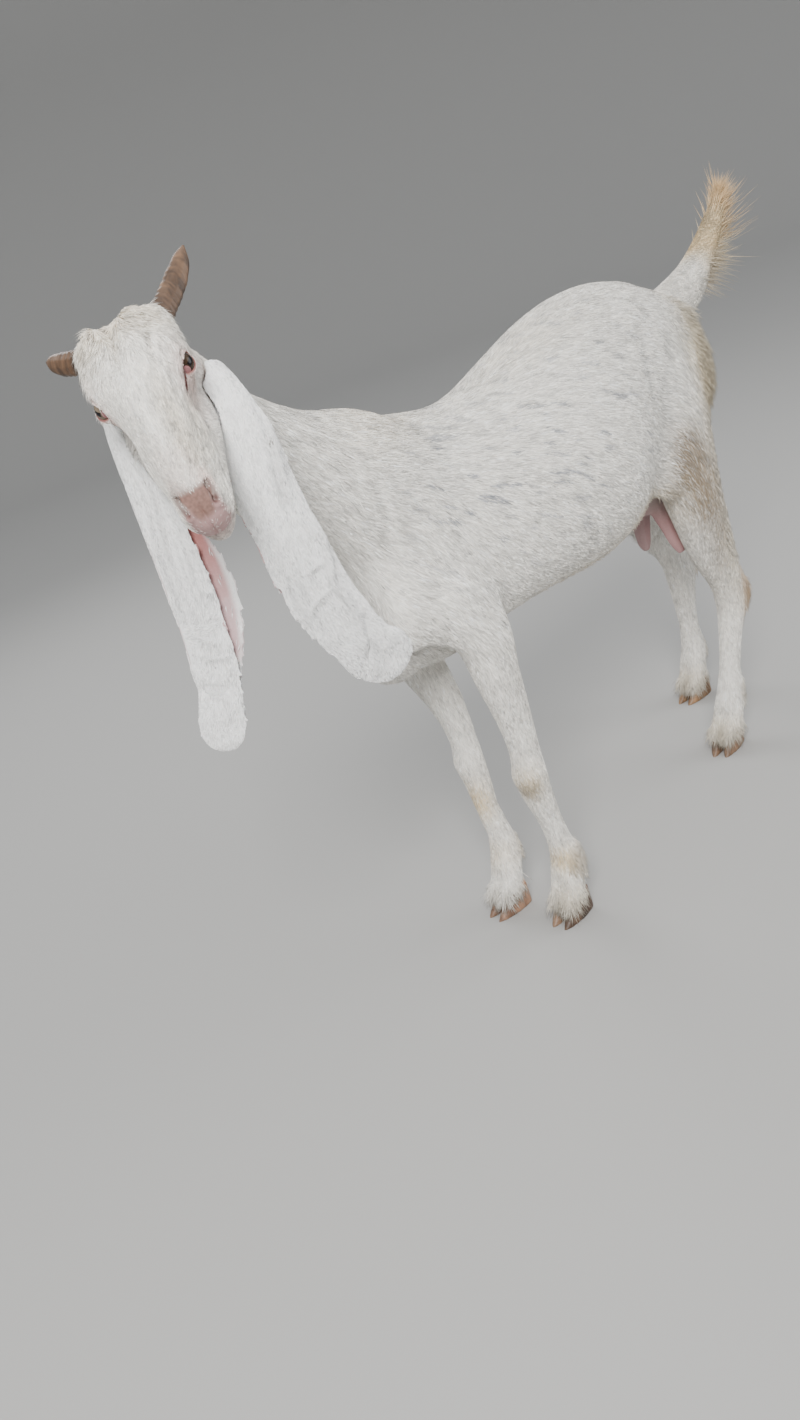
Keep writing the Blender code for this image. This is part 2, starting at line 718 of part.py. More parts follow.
def ear_ring(ear, centre, tangent, broad, deep, opening, share, around=10):
    """The outline of the folded leaf: round its outside, then back along its inside."""
    fold = (ear.fold_to - tangent * ear.fold_to.dot(tangent)).normalized()
    face = tangent.cross(fold)
    if face.dot(ear.face_to) < 0:
        face = -face
    flap = ear.rear_flap * math.sin(math.pi * min(max((share - 0.26) / 0.52, 0.0), 1.0))
    ring = []
    for inset, order in ((0.0, 1), (EAR_THICK, -1)):
        line = []
        for j in range(around):
            turn = math.radians(opening + (360 - 2 * opening) * j / (around - 1))
            wide = (broad / 2 - inset) * -math.cos(turn)
            thick = (deep / 2 - inset * 0.85) * math.sin(turn)
            past = max(0.0, (j - (around - 4)) / 3.0) * flap
            line.append(centre + fold * (wide - past) + face * thick)
        ring += line[::order]
    return ring


def ear_form(ear, group):
    line = spaced(ear.line, 8)
    walked = np.concatenate(([0.0], np.cumsum(np.linalg.norm(np.diff(line, axis=0), axis=1))))
    walked /= walked[-1]
    shares = [row[0] for row in EAR_SHAPE]
    rings = []
    for share in EAR_RINGS:
        spot, before, after = (
            [float(np.interp(min(max(share + step, 0.0), 1.0), walked, line[:, n]))
             for n in range(3)] for step in (0.0, -0.03, 0.03))
        tangent = (Vector(after) - Vector(before)).normalized()
        broad, deep, opening = (float(np.interp(share, shares, [row[n] for row in EAR_SHAPE]))
                                for n in (1, 2, 3))
        rings.append(ear_ring(ear, Vector(spot), tangent, broad * ear.breadth, deep,
                              opening, share))
    return loft(ear.name, rings, group)


# Horns

HORNS = {
    1: ((0.0220, -0.0440, 0.0320), (0.0034, -0.0578, 0.0451), (-0.0251, -0.0716, 0.0646),
        (-0.0514, -0.0810, 0.0814), (-0.0777, -0.0881, 0.0953)),
    -1: ((0.0220, -0.0440, -0.0340), (0.0046, -0.0606, -0.0489), (-0.0149, -0.0792, -0.0677),
         (-0.0347, -0.0963, -0.0834), (-0.0546, -0.1109, -0.0970)),
}
HORN_TAPER = (1.0, 1.0, 0.97, 0.70, 0.10)


def horn(side, name, group):
    """A short flat horn, broad as a leaf, with rings near its root."""
    line = spaced([(*on_head(*place), taper) for place, taper
                   in zip(HORNS[side], HORN_TAPER)], 4)
    broad_way = HEAD @ Vector((-0.70, 0.52, -side * 0.46)).normalized()
    rings = []
    for k, (x, y, z, taper) in enumerate(line):
        low, high = max(k - 1, 0), min(k + 1, len(line) - 1)
        tangent = Vector(line[high][:3] - line[low][:3]).normalized()
        across = (broad_way - tangent * broad_way.dot(tangent)).normalized()
        deep = tangent.cross(across)
        bump = 1.0 + (0.035 if k % 3 == 1 and k < 11 else 0.0)
        ring = []
        for j in range(10):
            turn = 2 * math.pi * j / 10
            ring.append(Vector((x, y, z)) + across * math.cos(turn) * HORN_BASE * taper * bump
                        + deep * rounded(math.sin(turn), HORN_BASE * 0.60 * taper * bump, 1.8))
        rings.append(ring)
    return loft(name, rings, group)


# Tail

TAIL = (   # centre, half breadth, half depth
    (0.462, 0.030, 0.738, 0.040, 0.042),
    (0.505, 0.030, 0.743, 0.041, 0.045),
    (0.552, 0.029, 0.756, 0.038, 0.043),
    (0.588, 0.026, 0.774, 0.034, 0.037),
    (0.617, 0.018, 0.801, 0.030, 0.029),
    (0.637, 0.007, 0.831, 0.026, 0.022),
    (0.648, -0.005, 0.859, 0.021, 0.016),
    (0.652, -0.012, 0.880, 0.013, 0.010),
)


def lock(root, along, out, length, half, thick, group, bend, rows=3):
    """A flat tapered lock: four-sided, broad at the root and bent along its lie."""
    along = along.normalized()
    side = along.cross(out).normalized()
    rings = []
    for k in range(rows):
        share = k / (rows - 1)
        wide = half * (1.0 - 0.86 * share ** 1.6)
        deep = thick * (1.0 - 0.70 * share)
        centre = root + along * (length * share) + out * (length * bend * share ** 2)
        rings.append([centre + side * wide, centre + out * deep,
                      centre - side * wide, centre - out * deep])
    return loft("lock", rings, group)


def tail_node(group):
    """The dock with its brush: locks along both edges and the back, a tuft at the tip."""
    core = tube("tail", TAIL, SIDEWAYS, group, steps=2, around=12)
    rng = random.Random(7)
    line = spaced(TAIL, 6)
    locks = []
    rows, last = 6, len(line) - 1
    for row in range(rows):
        share = 0.22 + 0.76 * row / (rows - 1)
        k = min(int(round(share * last)), last)
        centre = Vector(line[k][:3])
        tangent = Vector(line[k][:3] - line[k - 1][:3]).normalized()
        beside = (SIDEWAYS - tangent * tangent.y).normalized()
        back = beside.cross(tangent)
        if back.x < 0:
            back = -back
        tip = row == rows - 1
        turns = 7 if tip else 5
        for j in range(turns):
            angle = 2 * math.pi * j / turns if tip else math.radians(-110 + 55 * j)
            angle += math.radians(rng.uniform(-8, 8))
            edge = back * math.cos(angle) * line[k][4] + beside * math.sin(angle) * line[k][3]
            out = edge.normalized()
            length = 0.048 * rng.uniform(0.85, 1.15) * (0.72 if tip else 1.0)
            lie = tangent + out * (0.22 if tip else 0.62)
            locks.append(lock(centre + edge * 0.55, lie, out, length,
                              rng.uniform(0.0080, 0.0105), 0.0030, group,
                              bend=-0.10 if tip else -0.22))
    return boolean(core, locks, "UNION")


# Udder

def udder_node(group):
    pieces = [egg("udder", Vector((0.322, SPINE_Y, 0.500)), (0.062, 0.047, 0.052), group)]
    for side, foot in ((-1, (0.332, -0.008, 0.368)), (1, (0.310, 0.048, 0.382))):
        top = Vector((0.318, SPINE_Y + side * 0.020, 0.475))
        foot = Vector(foot)
        pieces.append(tube("teat", (
            (*top, 0.021, 0.021),
            (*(top.lerp(foot, 0.45)), 0.0165, 0.0165),
            (*(top.lerp(foot, 0.80)), 0.0125, 0.0125),
            (*(top.lerp(foot, 0.96)), 0.0075, 0.0075),
            (*foot, 0.0030, 0.0030)), SIDEWAYS, group))
    made = fused("udder", pieces, 0.003, 3, group)
    return lightened(made, 300)


# Parting

def slab(name, centre, normal, along, sizes, group):
    """A very thin sheet that parts one solid from another."""
    return block(name, centre, plane_axes(normal, along), (*sizes, GAP * 1.2), group)


def parted(whole, names):
    """Each connected part of a cut mesh as an object, named by the nearest mark."""
    made = {}
    parts = loose_parts(whole.data)
    points = np.array([v.co for v in whole.data.vertices])
    for name, mark in names.items():
        near = min(parts, key=lambda part: np.linalg.norm(
            points[part] - np.array(mark), axis=1).min())
        piece = bpy.data.objects.new(name, whole.data.copy())
        whole.users_collection[0].objects.link(piece)
        made[name] = keep_part(piece, near)
    remove(whole)
    return made


def finish(made, look):
    """Gives a node its material and its shading."""
    made.data.materials.clear()
    made.data.materials.append(look)
    made.data.shade_smooth()
    made.data.set_sharp_from_angle(angle=math.radians(50))
    return made


def centre_on_floor(nodes):
    """Moves the finished animal so that the middle of its box stands on the origin."""
    points = np.vstack([[tuple(v.co) for v in node.data.vertices] for node in nodes])
    low, high = points.min(0), points.max(0)
    shift = Vector((-(low[0] + high[0]) / 2, -(low[1] + high[1]) / 2, -low[2]))
    for node in nodes:
        node.data.transform(Matrix.Translation(shift))
    return shift


def body_nodes(group):
    """Neck, torso and legs: modelled whole, then parted by thin cuts."""
    forms = trunk_forms(group) + [neck_form(group)]
    for leg in LEGS:
        forms += leg_forms(leg, group)
    body = softened(fused("body", forms, BODY_VOXEL, 6, group), 0.50, 20)
    body = lightened(body, BODY_FACES)
    cuts = []
    upper = NECK_CUT + NECK_AXIS * 0.15
    cuts.append(block("above the throat", upper, plane_axes(NECK_AXIS, SIDEWAYS),
                      (0.5, 0.5, 0.3 + 2 * GAP), group))
    base = Vector((-0.300, SPINE_Y, 0.700))
    cuts.append(slab("neck cut", base, Vector((-0.80, 0.0, 0.60)), SIDEWAYS,
                     (0.40, 0.42), group))
    for leg in LEGS:
        cuts.append(slab(leg.name + " cut", leg.cut, leg.cut_normal, Vector((1, 0, 0)),
                         (0.36, 0.18), group))
        point, normal = coronet(leg)
        cuts.append(block(leg.name + " coronet", point - normal * 0.05,
                          plane_axes(normal, leg.ahead), (0.12, 0.09, 0.1), group))
    tools = bpy.data.collections.new("cuts")
    for cut in cuts:
        tools.objects.link(cut)
    act = body.modifiers.new("cut", "BOOLEAN")
    act.operation, act.operand_type, act.collection = "DIFFERENCE", "COLLECTION", tools
    apply_modifiers(body)
    bpy.data.collections.remove(tools)
    for cut in cuts:
        remove(cut)
    marks = {"torso": (0.07, SPINE_Y, 0.455), "neck": (-0.42, 0.0, 0.86)}
    for leg in LEGS:
        marks["leg_" + leg.name] = tuple(leg.column[7][:3])
    return parted(body, marks)


def head_node(group):
    """Skull, jaw, lids and lips as one solid, with the mouth line and nostrils cut in."""
    forms = head_forms(group) + [neck_form(group)]
    head = fused("head", forms, HEAD_VOXEL, 7, group)
    head = lightened(head, HEAD_FACES)
    below = NECK_CUT - NECK_AXIS * 0.25
    cuts = [block("below the throat", below, plane_axes(NECK_AXIS, SIDEWAYS),
                  (0.6, 0.6, 0.5), group), mouth_cutter(group)]
    for side in (-1, 1):
        centre = on_head(EYE_PLACE[0], EYE_PLACE[1], side * EYE_PLACE[2])
        cuts.append(egg("socket", centre, (EYE_RADIUS + GAP,) * 3, group, HEAD, segments=24))
        cuts.append(almond(EYE_PLACE, side, group))
        cuts.append(nostril_cutter(side, group))
    return boolean(head, cuts, "DIFFERENCE")


def main():
    clear_scene()
    goat = collection("gulabi_goat")
    looks = {
        "coat": material("white coat", (0.80, 0.78, 0.74), 0.75),
        "tail": material("cream hair", (0.74, 0.62, 0.44), 0.80),
        "horn": material("brown horn", (0.26, 0.17, 0.11), 0.45),
        "claw": material("tan claw horn", (0.52, 0.34, 0.20), 0.50),
        "eye": material("dark eye", (0.05, 0.035, 0.03), 0.08),
        "udder": material("pink skin", (0.72, 0.42, 0.40), 0.55),
    }
    nodes = body_nodes(goat)
    nodes["head"] = head_node(goat)
    grown_head = swollen(nodes["head"], GAP * 1.3, goat)
    for ear in EARS:
        nodes[ear.name] = trimmed(ear_form(ear, goat), [grown_head])
    for side, name in ((1, "horn_left"), (-1, "horn_right")):
        nodes[name] = trimmed(horn(side, name, goat), [grown_head])
        eye = name.replace("horn", "eye")
        nodes[eye] = egg(eye, on_head(EYE_PLACE[0], EYE_PLACE[1], side * EYE_PLACE[2]),
                         (EYE_RADIUS,) * 3, goat, HEAD, segments=16)
    remove(grown_head)
    grown = [swollen(nodes[name], GAP * 1.3, goat)
             for name in ("torso", "leg_rear_left", "leg_rear_right")]
    nodes["udder"] = trimmed(udder_node(goat), grown)
    nodes["tail"] = trimmed(tail_node(goat), grown)
    for copy in grown:
        remove(copy)
    for leg in LEGS:
        for side, place in ((-1, "right"), (1, "left")):
            name = f"claw_{leg.name}_{place}"
            nodes[name] = claw(leg, side, name, goat)
    for name, node in nodes.items():
        node.name = name
        node.data.name = name
        look = next((looks[key] for key in ("claw", "horn", "eye", "udder", "tail")
                     if name.startswith(key)), looks["coat"])
        finish(node, look)
    centre_on_floor(nodes.values())


if __name__ == "__main__":
    main()
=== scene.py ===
"""Dresses the standing doe: hide, coat, ears, eyes, horns, claws, udder and tail, with a
pale floor, soft lights and the camera.

Metres, +Z up. She faces -X and her left side is towards -Y.
"""
import json
import math

import bmesh
import bpy
import numpy as np
from bpy.props import FloatProperty, FloatVectorProperty, IntProperty, PointerProperty
from mathutils import Matrix, Vector, noise
from mathutils.bvhtree import BVHTree

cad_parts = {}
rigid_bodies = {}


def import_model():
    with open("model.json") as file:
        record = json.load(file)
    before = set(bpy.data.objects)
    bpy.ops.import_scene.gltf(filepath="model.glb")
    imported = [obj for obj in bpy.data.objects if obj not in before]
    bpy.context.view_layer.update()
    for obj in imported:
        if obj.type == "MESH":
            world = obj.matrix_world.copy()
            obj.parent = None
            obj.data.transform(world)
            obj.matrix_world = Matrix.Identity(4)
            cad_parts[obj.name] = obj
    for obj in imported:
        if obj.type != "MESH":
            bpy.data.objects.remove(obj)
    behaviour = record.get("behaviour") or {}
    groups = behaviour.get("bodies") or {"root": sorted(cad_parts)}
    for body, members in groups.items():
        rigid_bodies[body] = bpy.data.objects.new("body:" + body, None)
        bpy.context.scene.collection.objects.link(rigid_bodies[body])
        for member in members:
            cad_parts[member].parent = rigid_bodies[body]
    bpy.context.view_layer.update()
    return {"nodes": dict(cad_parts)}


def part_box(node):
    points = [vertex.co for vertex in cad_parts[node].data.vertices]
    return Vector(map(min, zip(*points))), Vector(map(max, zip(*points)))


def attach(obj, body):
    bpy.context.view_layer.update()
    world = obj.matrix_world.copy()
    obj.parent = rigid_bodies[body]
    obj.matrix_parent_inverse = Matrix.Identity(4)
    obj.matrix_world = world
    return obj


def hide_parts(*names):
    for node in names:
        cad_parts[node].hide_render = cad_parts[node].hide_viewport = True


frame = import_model()
NODES = frame["nodes"]

bl_info = {
    "name": "Long-eared Doe",
    "version": (1, 0, 0),
    "blender": (4, 5, 0),
    "location": "View3D > Sidebar > Doe",
    "description": "Dresses the doe's solids with hide, coat, horns, claws and eyes",
    "category": "Object",
}

BODY = "root"

# The head: its poll and its axes down the face, out of the forehead and to her left
POLL = np.array((-0.5820, -0.0565, 1.0250))
HEAD_TURN = math.radians(51.4)
FACE_SLOPE = math.radians(55.2)
HEAD_TILT = math.radians(9.3)
EYE_PLACE = (0.083, -0.034, 0.0395)
EYE_LOOK = (0.28, 0.42, 0.86)
EYE_SLANT = 0.50
LID_LONG = 0.0124
LID_HIGH = 0.0074
EYE_RADIUS = 0.0150
EYE_REACH = 0.03
NECK_CUT = np.array((-0.478, -0.008, 0.873))
NECK_AXIS = np.array((-0.74, -0.19, 0.645)) / math.sqrt(0.74 ** 2 + 0.19 ** 2 + 0.645 ** 2)
LEGS = ("front_left", "front_right", "rear_left", "rear_right")
SIDES = ((1, "left"), (-1, "right"))


def head_axes():
    """Rows: down the face, out of the forehead, and towards her left."""
    up = Vector((0.0, 0.0, 1.0))
    ahead = Vector((-math.cos(HEAD_TURN), -math.sin(HEAD_TURN), 0.0))
    left = up.cross(ahead)
    left = (left * math.cos(HEAD_TILT) + up * math.sin(HEAD_TILT)).normalized()
    down = ahead * math.cos(FACE_SLOPE) - up * math.sin(FACE_SLOPE)
    down = (down - left * down.dot(left)).normalized()
    out = down.cross(left).normalized()
    return np.array((down, out, left))


HEAD = head_axes()


def on_head(along, out, left):
    """A point of the head before it is set down with the rest of the animal."""
    return POLL + np.array((along, out, left)) @ HEAD


def set_down():
    """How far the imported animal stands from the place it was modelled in."""
    low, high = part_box("eye_left")
    return np.array((low + high) / 2) - on_head(*EYE_PLACE)


SHIFT = set_down()


# Plain helpers

def smoothstep(x, low, high):
    t = np.clip((x - low) / (high - low), 0.0, 1.0)
    return t * t * (3.0 - 2.0 * t)


def unit(v):
    return v / np.maximum(np.linalg.norm(v, axis=-1, keepdims=True), 1e-12)


def bell(distance, width):
    return np.exp(-0.5 * (distance / width) ** 2)


def mixed(colour, tint, share):
    """One colour or direction laid over another, by a share for each place."""
    return colour * (1 - share[:, None]) + tint * share[:, None]


def noise_at(places):
    return np.array([noise.noise(place) for place in places.tolist()])


def places_of(items, name="co"):
    """A vector of each point or face of a mesh, as one array."""
    flat = np.zeros(len(items) * 3, np.float32)
    items.foreach_get(name, flat)
    return flat.reshape(-1, 3).astype(float)


def indices_of(items, name, width):
    flat = np.zeros(len(items) * width, np.int32)
    items.foreach_get(name, flat)
    return flat.reshape(-1, width)


def ring_faces(rings, around):
    """Quads between neighbouring rings that each have the same number of points."""
    start, step = np.arange(rings - 1)[:, None] * around, np.arange(around)
    here, there = (start + step).ravel(), (start + (step + 1) % around).ravel()
    return np.stack((here, there, there + around, here + around), 1)


def new_object(name, mesh):
    made = bpy.data.objects.new(name, mesh)
    bpy.context.scene.collection.objects.link(made)
    return made


def mesh_from_arrays(name, points, faces):
    """A mesh from an array of points and an array of faces that all have as many corners."""
    mesh = bpy.data.meshes.new(name)
    mesh.vertices.add(len(points))
    mesh.vertices.foreach_set("co", np.ascontiguousarray(points, np.float32).ravel())
    mesh.loops.add(faces.size)
    mesh.loops.foreach_set("vertex_index", np.ascontiguousarray(faces, np.int32).ravel())
    mesh.polygons.add(len(faces))
    mesh.polygons.foreach_set("loop_start",
                              np.arange(0, faces.size, faces.shape[1], dtype=np.int32))
    mesh.update(calc_edges=True)
    mesh.validate()
    mesh.shade_smooth()
    return mesh


def paint(mesh, name, values):
    """A colour on each point of a mesh, which its material reads by name."""
    layer = mesh.color_attributes.new(name, "FLOAT_COLOR", "POINT")
    full = np.ones((len(mesh.vertices), 4), np.float32)
    full[:, :values.shape[1]] = values
    layer.data.foreach_set("color", full.ravel())


def weigh(mesh, name, values):
    layer = mesh.attributes.new(name, "FLOAT", "POINT")
    layer.data.foreach_set("value", np.ascontiguousarray(values, np.float32))


class Clay:
    """A mesh held as arrays, so that it can be pushed about and written back."""

    def __init__(self, made):
        self.made = made
        self.count = len(made.data.vertices)
        self.edges = indices_of(made.data.edges, "vertices", 2)
        self.read()

    def read(self):
        self.points = places_of(self.made.data.vertices)
        self.normals = places_of(self.made.data.vertices, "normal")

    def write(self):
        mesh = self.made.data
        mesh.vertices.foreach_set("co", self.points.astype(np.float32).ravel())
        mesh.update()
        self.read()

    def push(self, amounts):
        """Moves each point along its normal."""
        self.points = self.points + self.normals * amounts[:, None]
        self.write()

    def relax(self, mask, rounds):
        """Smooths the form where the mask says, by averaging each point with its neighbours."""
        a, b = self.edges.T
        degree = np.bincount(a, minlength=self.count) + np.bincount(b, minlength=self.count)
        degree = np.maximum(degree, 1)[:, None]
        smooth = self.points.copy()
        for _ in range(rounds):
            total = np.stack([np.bincount(a, smooth[b, k], self.count)
                              + np.bincount(b, smooth[a, k], self.count) for k in range(3)], 1)
            smooth = 0.5 * smooth + 0.5 * total / degree
        self.points += (smooth - self.points) * mask[:, None]
        self.write()


def path_distance(points, path):
    """Distance of each point from a line through the given stations, and how far along."""
    best = np.full(len(points), 1e9)
    share = np.zeros(len(points))
    stations = np.array(path, float)
    steps = len(stations) - 1
    for k in range(steps):
        start, leg = stations[k], stations[k + 1] - stations[k]
        t = np.clip((points - start) @ leg / max(leg @ leg, 1e-12), 0.0, 1.0)
        distance = np.linalg.norm(points - start - t[:, None] * leg, axis=1)
        closer = distance < best
        best[closer] = distance[closer]
        share[closer] = (k + t[closer]) / steps
    return best, share


def merged(name, nodes, grow):
    """Copies of some solids in one loose mesh, each grown a little so that they touch."""
    whole = bmesh.new()
    for node in nodes:
        part = bmesh.new()
        part.from_mesh(NODES[node].data)
        bmesh.ops.remove_doubles(part, verts=part.verts, dist=2e-5)
        part.normal_update()
        for vertex in part.verts:
            vertex.co += vertex.normal * grow
        mesh = bpy.data.meshes.new("part")
        part.to_mesh(mesh)
        part.free()
        whole.from_mesh(mesh)
        bpy.data.meshes.remove(mesh)
    mesh = bpy.data.meshes.new(name)
    whole.to_mesh(mesh)
    whole.free()
    return new_object(name, mesh)


def one_skin(name, nodes, voxel, smooth, grow=0.0):
    """Copies of some solids remeshed as one even skin and smoothed."""
    made = merged(name, nodes, grow)
    grid = made.modifiers.new("one skin", "REMESH")
    grid.mode = "VOXEL"
    grid.voxel_size = voxel
    soft = made.modifiers.new("smooth", "SMOOTH")
    soft.factor = 0.5
    soft.iterations = smooth
    graph = bpy.context.evaluated_depsgraph_get()
    mesh = bpy.data.meshes.new_from_object(made.evaluated_get(graph))
    made.modifiers.clear()
    made.data = mesh
    mesh.shade_smooth()
    return made


def refined(made, chosen):
    """Splits the chosen faces in four."""
    cage = bmesh.new()
    cage.from_mesh(made.data)
    cage.faces.ensure_lookup_table()
    edges = {edge for index in np.nonzero(chosen)[0] for edge in cage.faces[index].edges}
    bmesh.ops.subdivide_edges(cage, edges=list(edges), cuts=1, use_grid_fill=True)
    cage.to_mesh(made.data)
    cage.free()


def to_head(points):
    return (points - SHIFT - POLL) @ HEAD.T


def up_neck(points):
    """How far each place lies beyond the neck's cut, on the way to the head."""
    return (points - SHIFT - NECK_CUT) @ NECK_AXIS


# Colours shared by skin and coat

WHITE = np.array((0.85, 0.825, 0.775))
CREAM = np.array((0.76, 0.60, 0.36))
TAN = np.array((0.56, 0.34, 0.15))
HAY = np.array((0.62, 0.54, 0.40))
SOIL = np.array((0.27, 0.205, 0.14))
BLUSH = np.array((0.78, 0.60, 0.56))
PAD = np.array((0.25, 0.145, 0.120))
LIP = np.array((0.46, 0.29, 0.28))
# Dark red of the wet tear line, also used as painted shade in the nostril slits and along the mouth
# line
TEAR_RED_AND_SLIT_SHADE = np.array((0.075, 0.018, 0.014))
FLECK = np.array((0.36, 0.37, 0.40))


def blotch(points, centre, radii):
    return np.exp(-0.5 * (((points - SHIFT - np.array(centre)) / np.array(radii)) ** 2).sum(1))


# Centre, reach along x, y and z, colour, strength
STAINS = (
    ((0.29, -0.088, 0.545), (0.034, 0.04, 0.036), SOIL, 1.45),
    ((0.318, -0.085, 0.485), (0.034, 0.04, 0.046), SOIL, 1.1),
    ((0.342, -0.075, 0.4), (0.022, 0.04, 0.055), SOIL, 0.62),
    ((0.38, -0.065, 0.37), (0.026, 0.04, 0.07), HAY, 0.6),
    ((0.455, -0.055, 0.65), (0.04, 0.05, 0.11), HAY, 1.25),
    ((0.41, -0.05, 0.54), (0.045, 0.05, 0.07), HAY, 0.95),
    ((0.445, 0.11, 0.64), (0.036, 0.045, 0.09), HAY, 0.8),
    ((0.415, -0.05, 0.262), (0.018, 0.024, 0.034), TAN, 0.7),
    ((0.565, 0.124, 0.262), (0.02, 0.024, 0.034), CREAM, 0.6),
    ((-0.235, -0.064, 0.252), (0.008, 0.014, 0.012), SOIL, 1.6),
    ((-0.233, -0.064, 0.258), (0.016, 0.02, 0.023), HAY, 0.7),
    ((-0.22, 0.0729, 0.2), (0.016, 0.018, 0.024), CREAM, 0.8),
    ((-0.2053, -0.053, 0.106), (0.015, 0.02, 0.015), CREAM, 0.8),
    ((-0.21, 0.075, 0.1), (0.02, 0.02, 0.018), CREAM, 0.35),
    ((-0.225, -0.053, 0.045), (0.03, 0.03, 0.016), HAY, 0.6),
    ((0.3, -0.03, 0.045), (0.03, 0.03, 0.018), HAY, 0.65),
    ((0.475, 0.137, 0.045), (0.03, 0.03, 0.018), HAY, 0.65),
    ((0.05, 0.0, 0.462), (0.12, 0.08, 0.022), CREAM, 0.42),
    ((0.17, -0.07, 0.5), (0.06, 0.05, 0.03), CREAM, 0.35),
    ((-0.255, 0.0, 0.8), (0.06, 0.04, 0.03), CREAM, 0.22),
    ((0.06, 0.01, 0.8), (0.12, 0.04, 0.03), CREAM, 0.14),
)
# The same on the head, in its own measures; the last three are painted shade beside the nose ridge,
# partly dirty hair
HEAD_STAINS_AND_SHADE = (
    ((0.022, -0.008, 0.0), (0.022, 0.02, 0.04), CREAM, 0.32),
    ((0.098, -0.024, 0.046), (0.016, 0.014, 0.012), BLUSH, 0.55),
    ((0.11, -0.044, 0.044), (0.018, 0.02, 0.012), BLUSH, 0.42),
    ((0.1, -0.03, -0.046), (0.014, 0.014, 0.01), BLUSH, 0.55),
    ((0.083, -0.034, 0.046), (0.018, 0.018, 0.016), BLUSH, 0.42),
    ((0.083, -0.034, -0.046), (0.018, 0.018, 0.016), BLUSH, 0.45),
    ((0.214, -0.01, 0.02), (0.01, 0.01, 0.006), BLUSH, 0.75),
    ((0.216, -0.008, -0.014), (0.01, 0.01, 0.008), PAD, 0.55),
    ((0.245, -0.06, 0.004), (0.014, 0.01, 0.02), BLUSH, 0.6),
    ((0.195, 0.004, 0.0), (0.018, 0.01, 0.022), BLUSH, 0.22),
    ((0.062, -0.09, 0.055), (0.02, 0.02, 0.02), BLUSH, 0.4),
    # Painted shade on the plane beside the nose ridge, partly dirty hair
    ((0.14, 0.008, 0.02), (0.03, 0.02, 0.008), HAY, 0.34),
    ((0.178, 0.004, 0.018), (0.022, 0.02, 0.007), HAY, 0.34),
    ((0.15, -0.03, 0.032), (0.03, 0.014, 0.01), HAY, 0.22),
)


def coat_colour(points, waver=None):
    """The coat's colour at each place: white, with cream, pinkish and soiled places, and painted
    shade beside the nose ridge.
    """
    colour = np.repeat(WHITE[None], len(points), 0)
    waver = np.ones(len(points)) if waver is None else waver
    q = to_head(points)
    on = smoothstep(up_neck(points), 0.0, 0.03)
    for centre, radii, tint, strength in STAINS:
        share = np.clip(blotch(points, centre, radii) * strength * waver, 0, 0.95)
        colour = mixed(colour, tint, share)
    for centre, radii, tint, strength in HEAD_STAINS_AND_SHADE:
        near = np.exp(-0.5 * (((q - np.array(centre)) / np.array(radii)) ** 2).sum(1))
        colour = mixed(colour, tint, near * strength * on)
    return colour


def flecks(points, rng):
    """How dark each tuft is where the darker skin shows through the thin coat of the flank."""
    p = points - SHIFT
    place = (bell(p[:, 0] + 0.02, 0.20) * bell(p[:, 2] - 0.66, 0.085)
             + 1.3 * bell(p[:, 0] + 0.215, 0.035) * bell(p[:, 2] - 0.675, 0.050)
             + 0.5 * bell(p[:, 0] - 0.14, 0.10) * bell(p[:, 2] - 0.79, 0.03))
    x, y, z = p.T
    mottle = noise_at(np.stack((x * 36 + z * 12, y * 24, z * 120 + x * 48), 1))
    share = smoothstep(mottle, 0.33, 0.52) * np.clip(place, 0, 1.2)
    return np.clip(share * rng.uniform(0.4, 1.3, len(p)), 0, 0.90)


# The bare places of the muzzle, in the head's own measures

NOSTRIL = ((0.2185, -0.0135, 0.0178), (0.2215, -0.0155, 0.0184), (0.2265, -0.0190, 0.0178),
           (0.2310, -0.0225, 0.0158))
MOUTH_OUT = -0.0575


def from_nostril(q, side):
    """Distance from one nostril's curved slit, and how far along it."""
    return path_distance(q, [(a, b, side * c) for a, b, c in NOSTRIL])


def muzzle_masks(points):
    """Shares of each place that are nose pad, lip, painted shade in the nostril slits and along the
    mouth line, and wet tear line.
    """
    q = to_head(points)
    on = smoothstep(up_neck(points), 0.02, 0.05)
    low = smoothstep(q[:, 1], -0.0290, -0.0225)
    pad = smoothstep(q[:, 0] + 0.10 * np.abs(q[:, 2]), 0.2125, 0.2230) * low
    breadth = np.abs(q[:, 2] - 0.001) + 0.38 * np.maximum(q[:, 0] - 0.216, 0.0)
    pad *= 1 - smoothstep(breadth, 0.0155, 0.0210)
    lip = smoothstep(q[:, 0], 0.2230, 0.2340) * smoothstep(q[:, 1], MOUTH_OUT, MOUTH_OUT + 0.004)
    lip *= 1 - smoothstep(np.abs(q[:, 2]), 0.0170, 0.0240)
    slit_shade = np.zeros(len(q))
    # Painted shade in each nostril's slit, and the pad's colour round it
    for side in (-1, 1):
        away, share = from_nostril(q, side)
        slit_shade = np.maximum(slit_shade, np.clip(1.8 * bell(away, 0.0029 - 0.0007 * share), 0, 1))
        pad = np.maximum(pad, 0.70 * bell(away, 0.0036))
    # Painted shade along the crease of the mouth line
    mouth = bell(q[:, 1] - MOUTH_OUT, 0.0011) * smoothstep(q[:, 0], 0.198, 0.210)
    tear, _ = path_distance(q, ((0.0935, -0.0190, 0.0470), (0.1028, -0.0217, 0.0431),
                                (0.1100, -0.0243, 0.0400)))
    return pad * on, lip * on, np.maximum(slit_shade, 0.5 * mouth) * on, bell(tear, 0.0021) * on


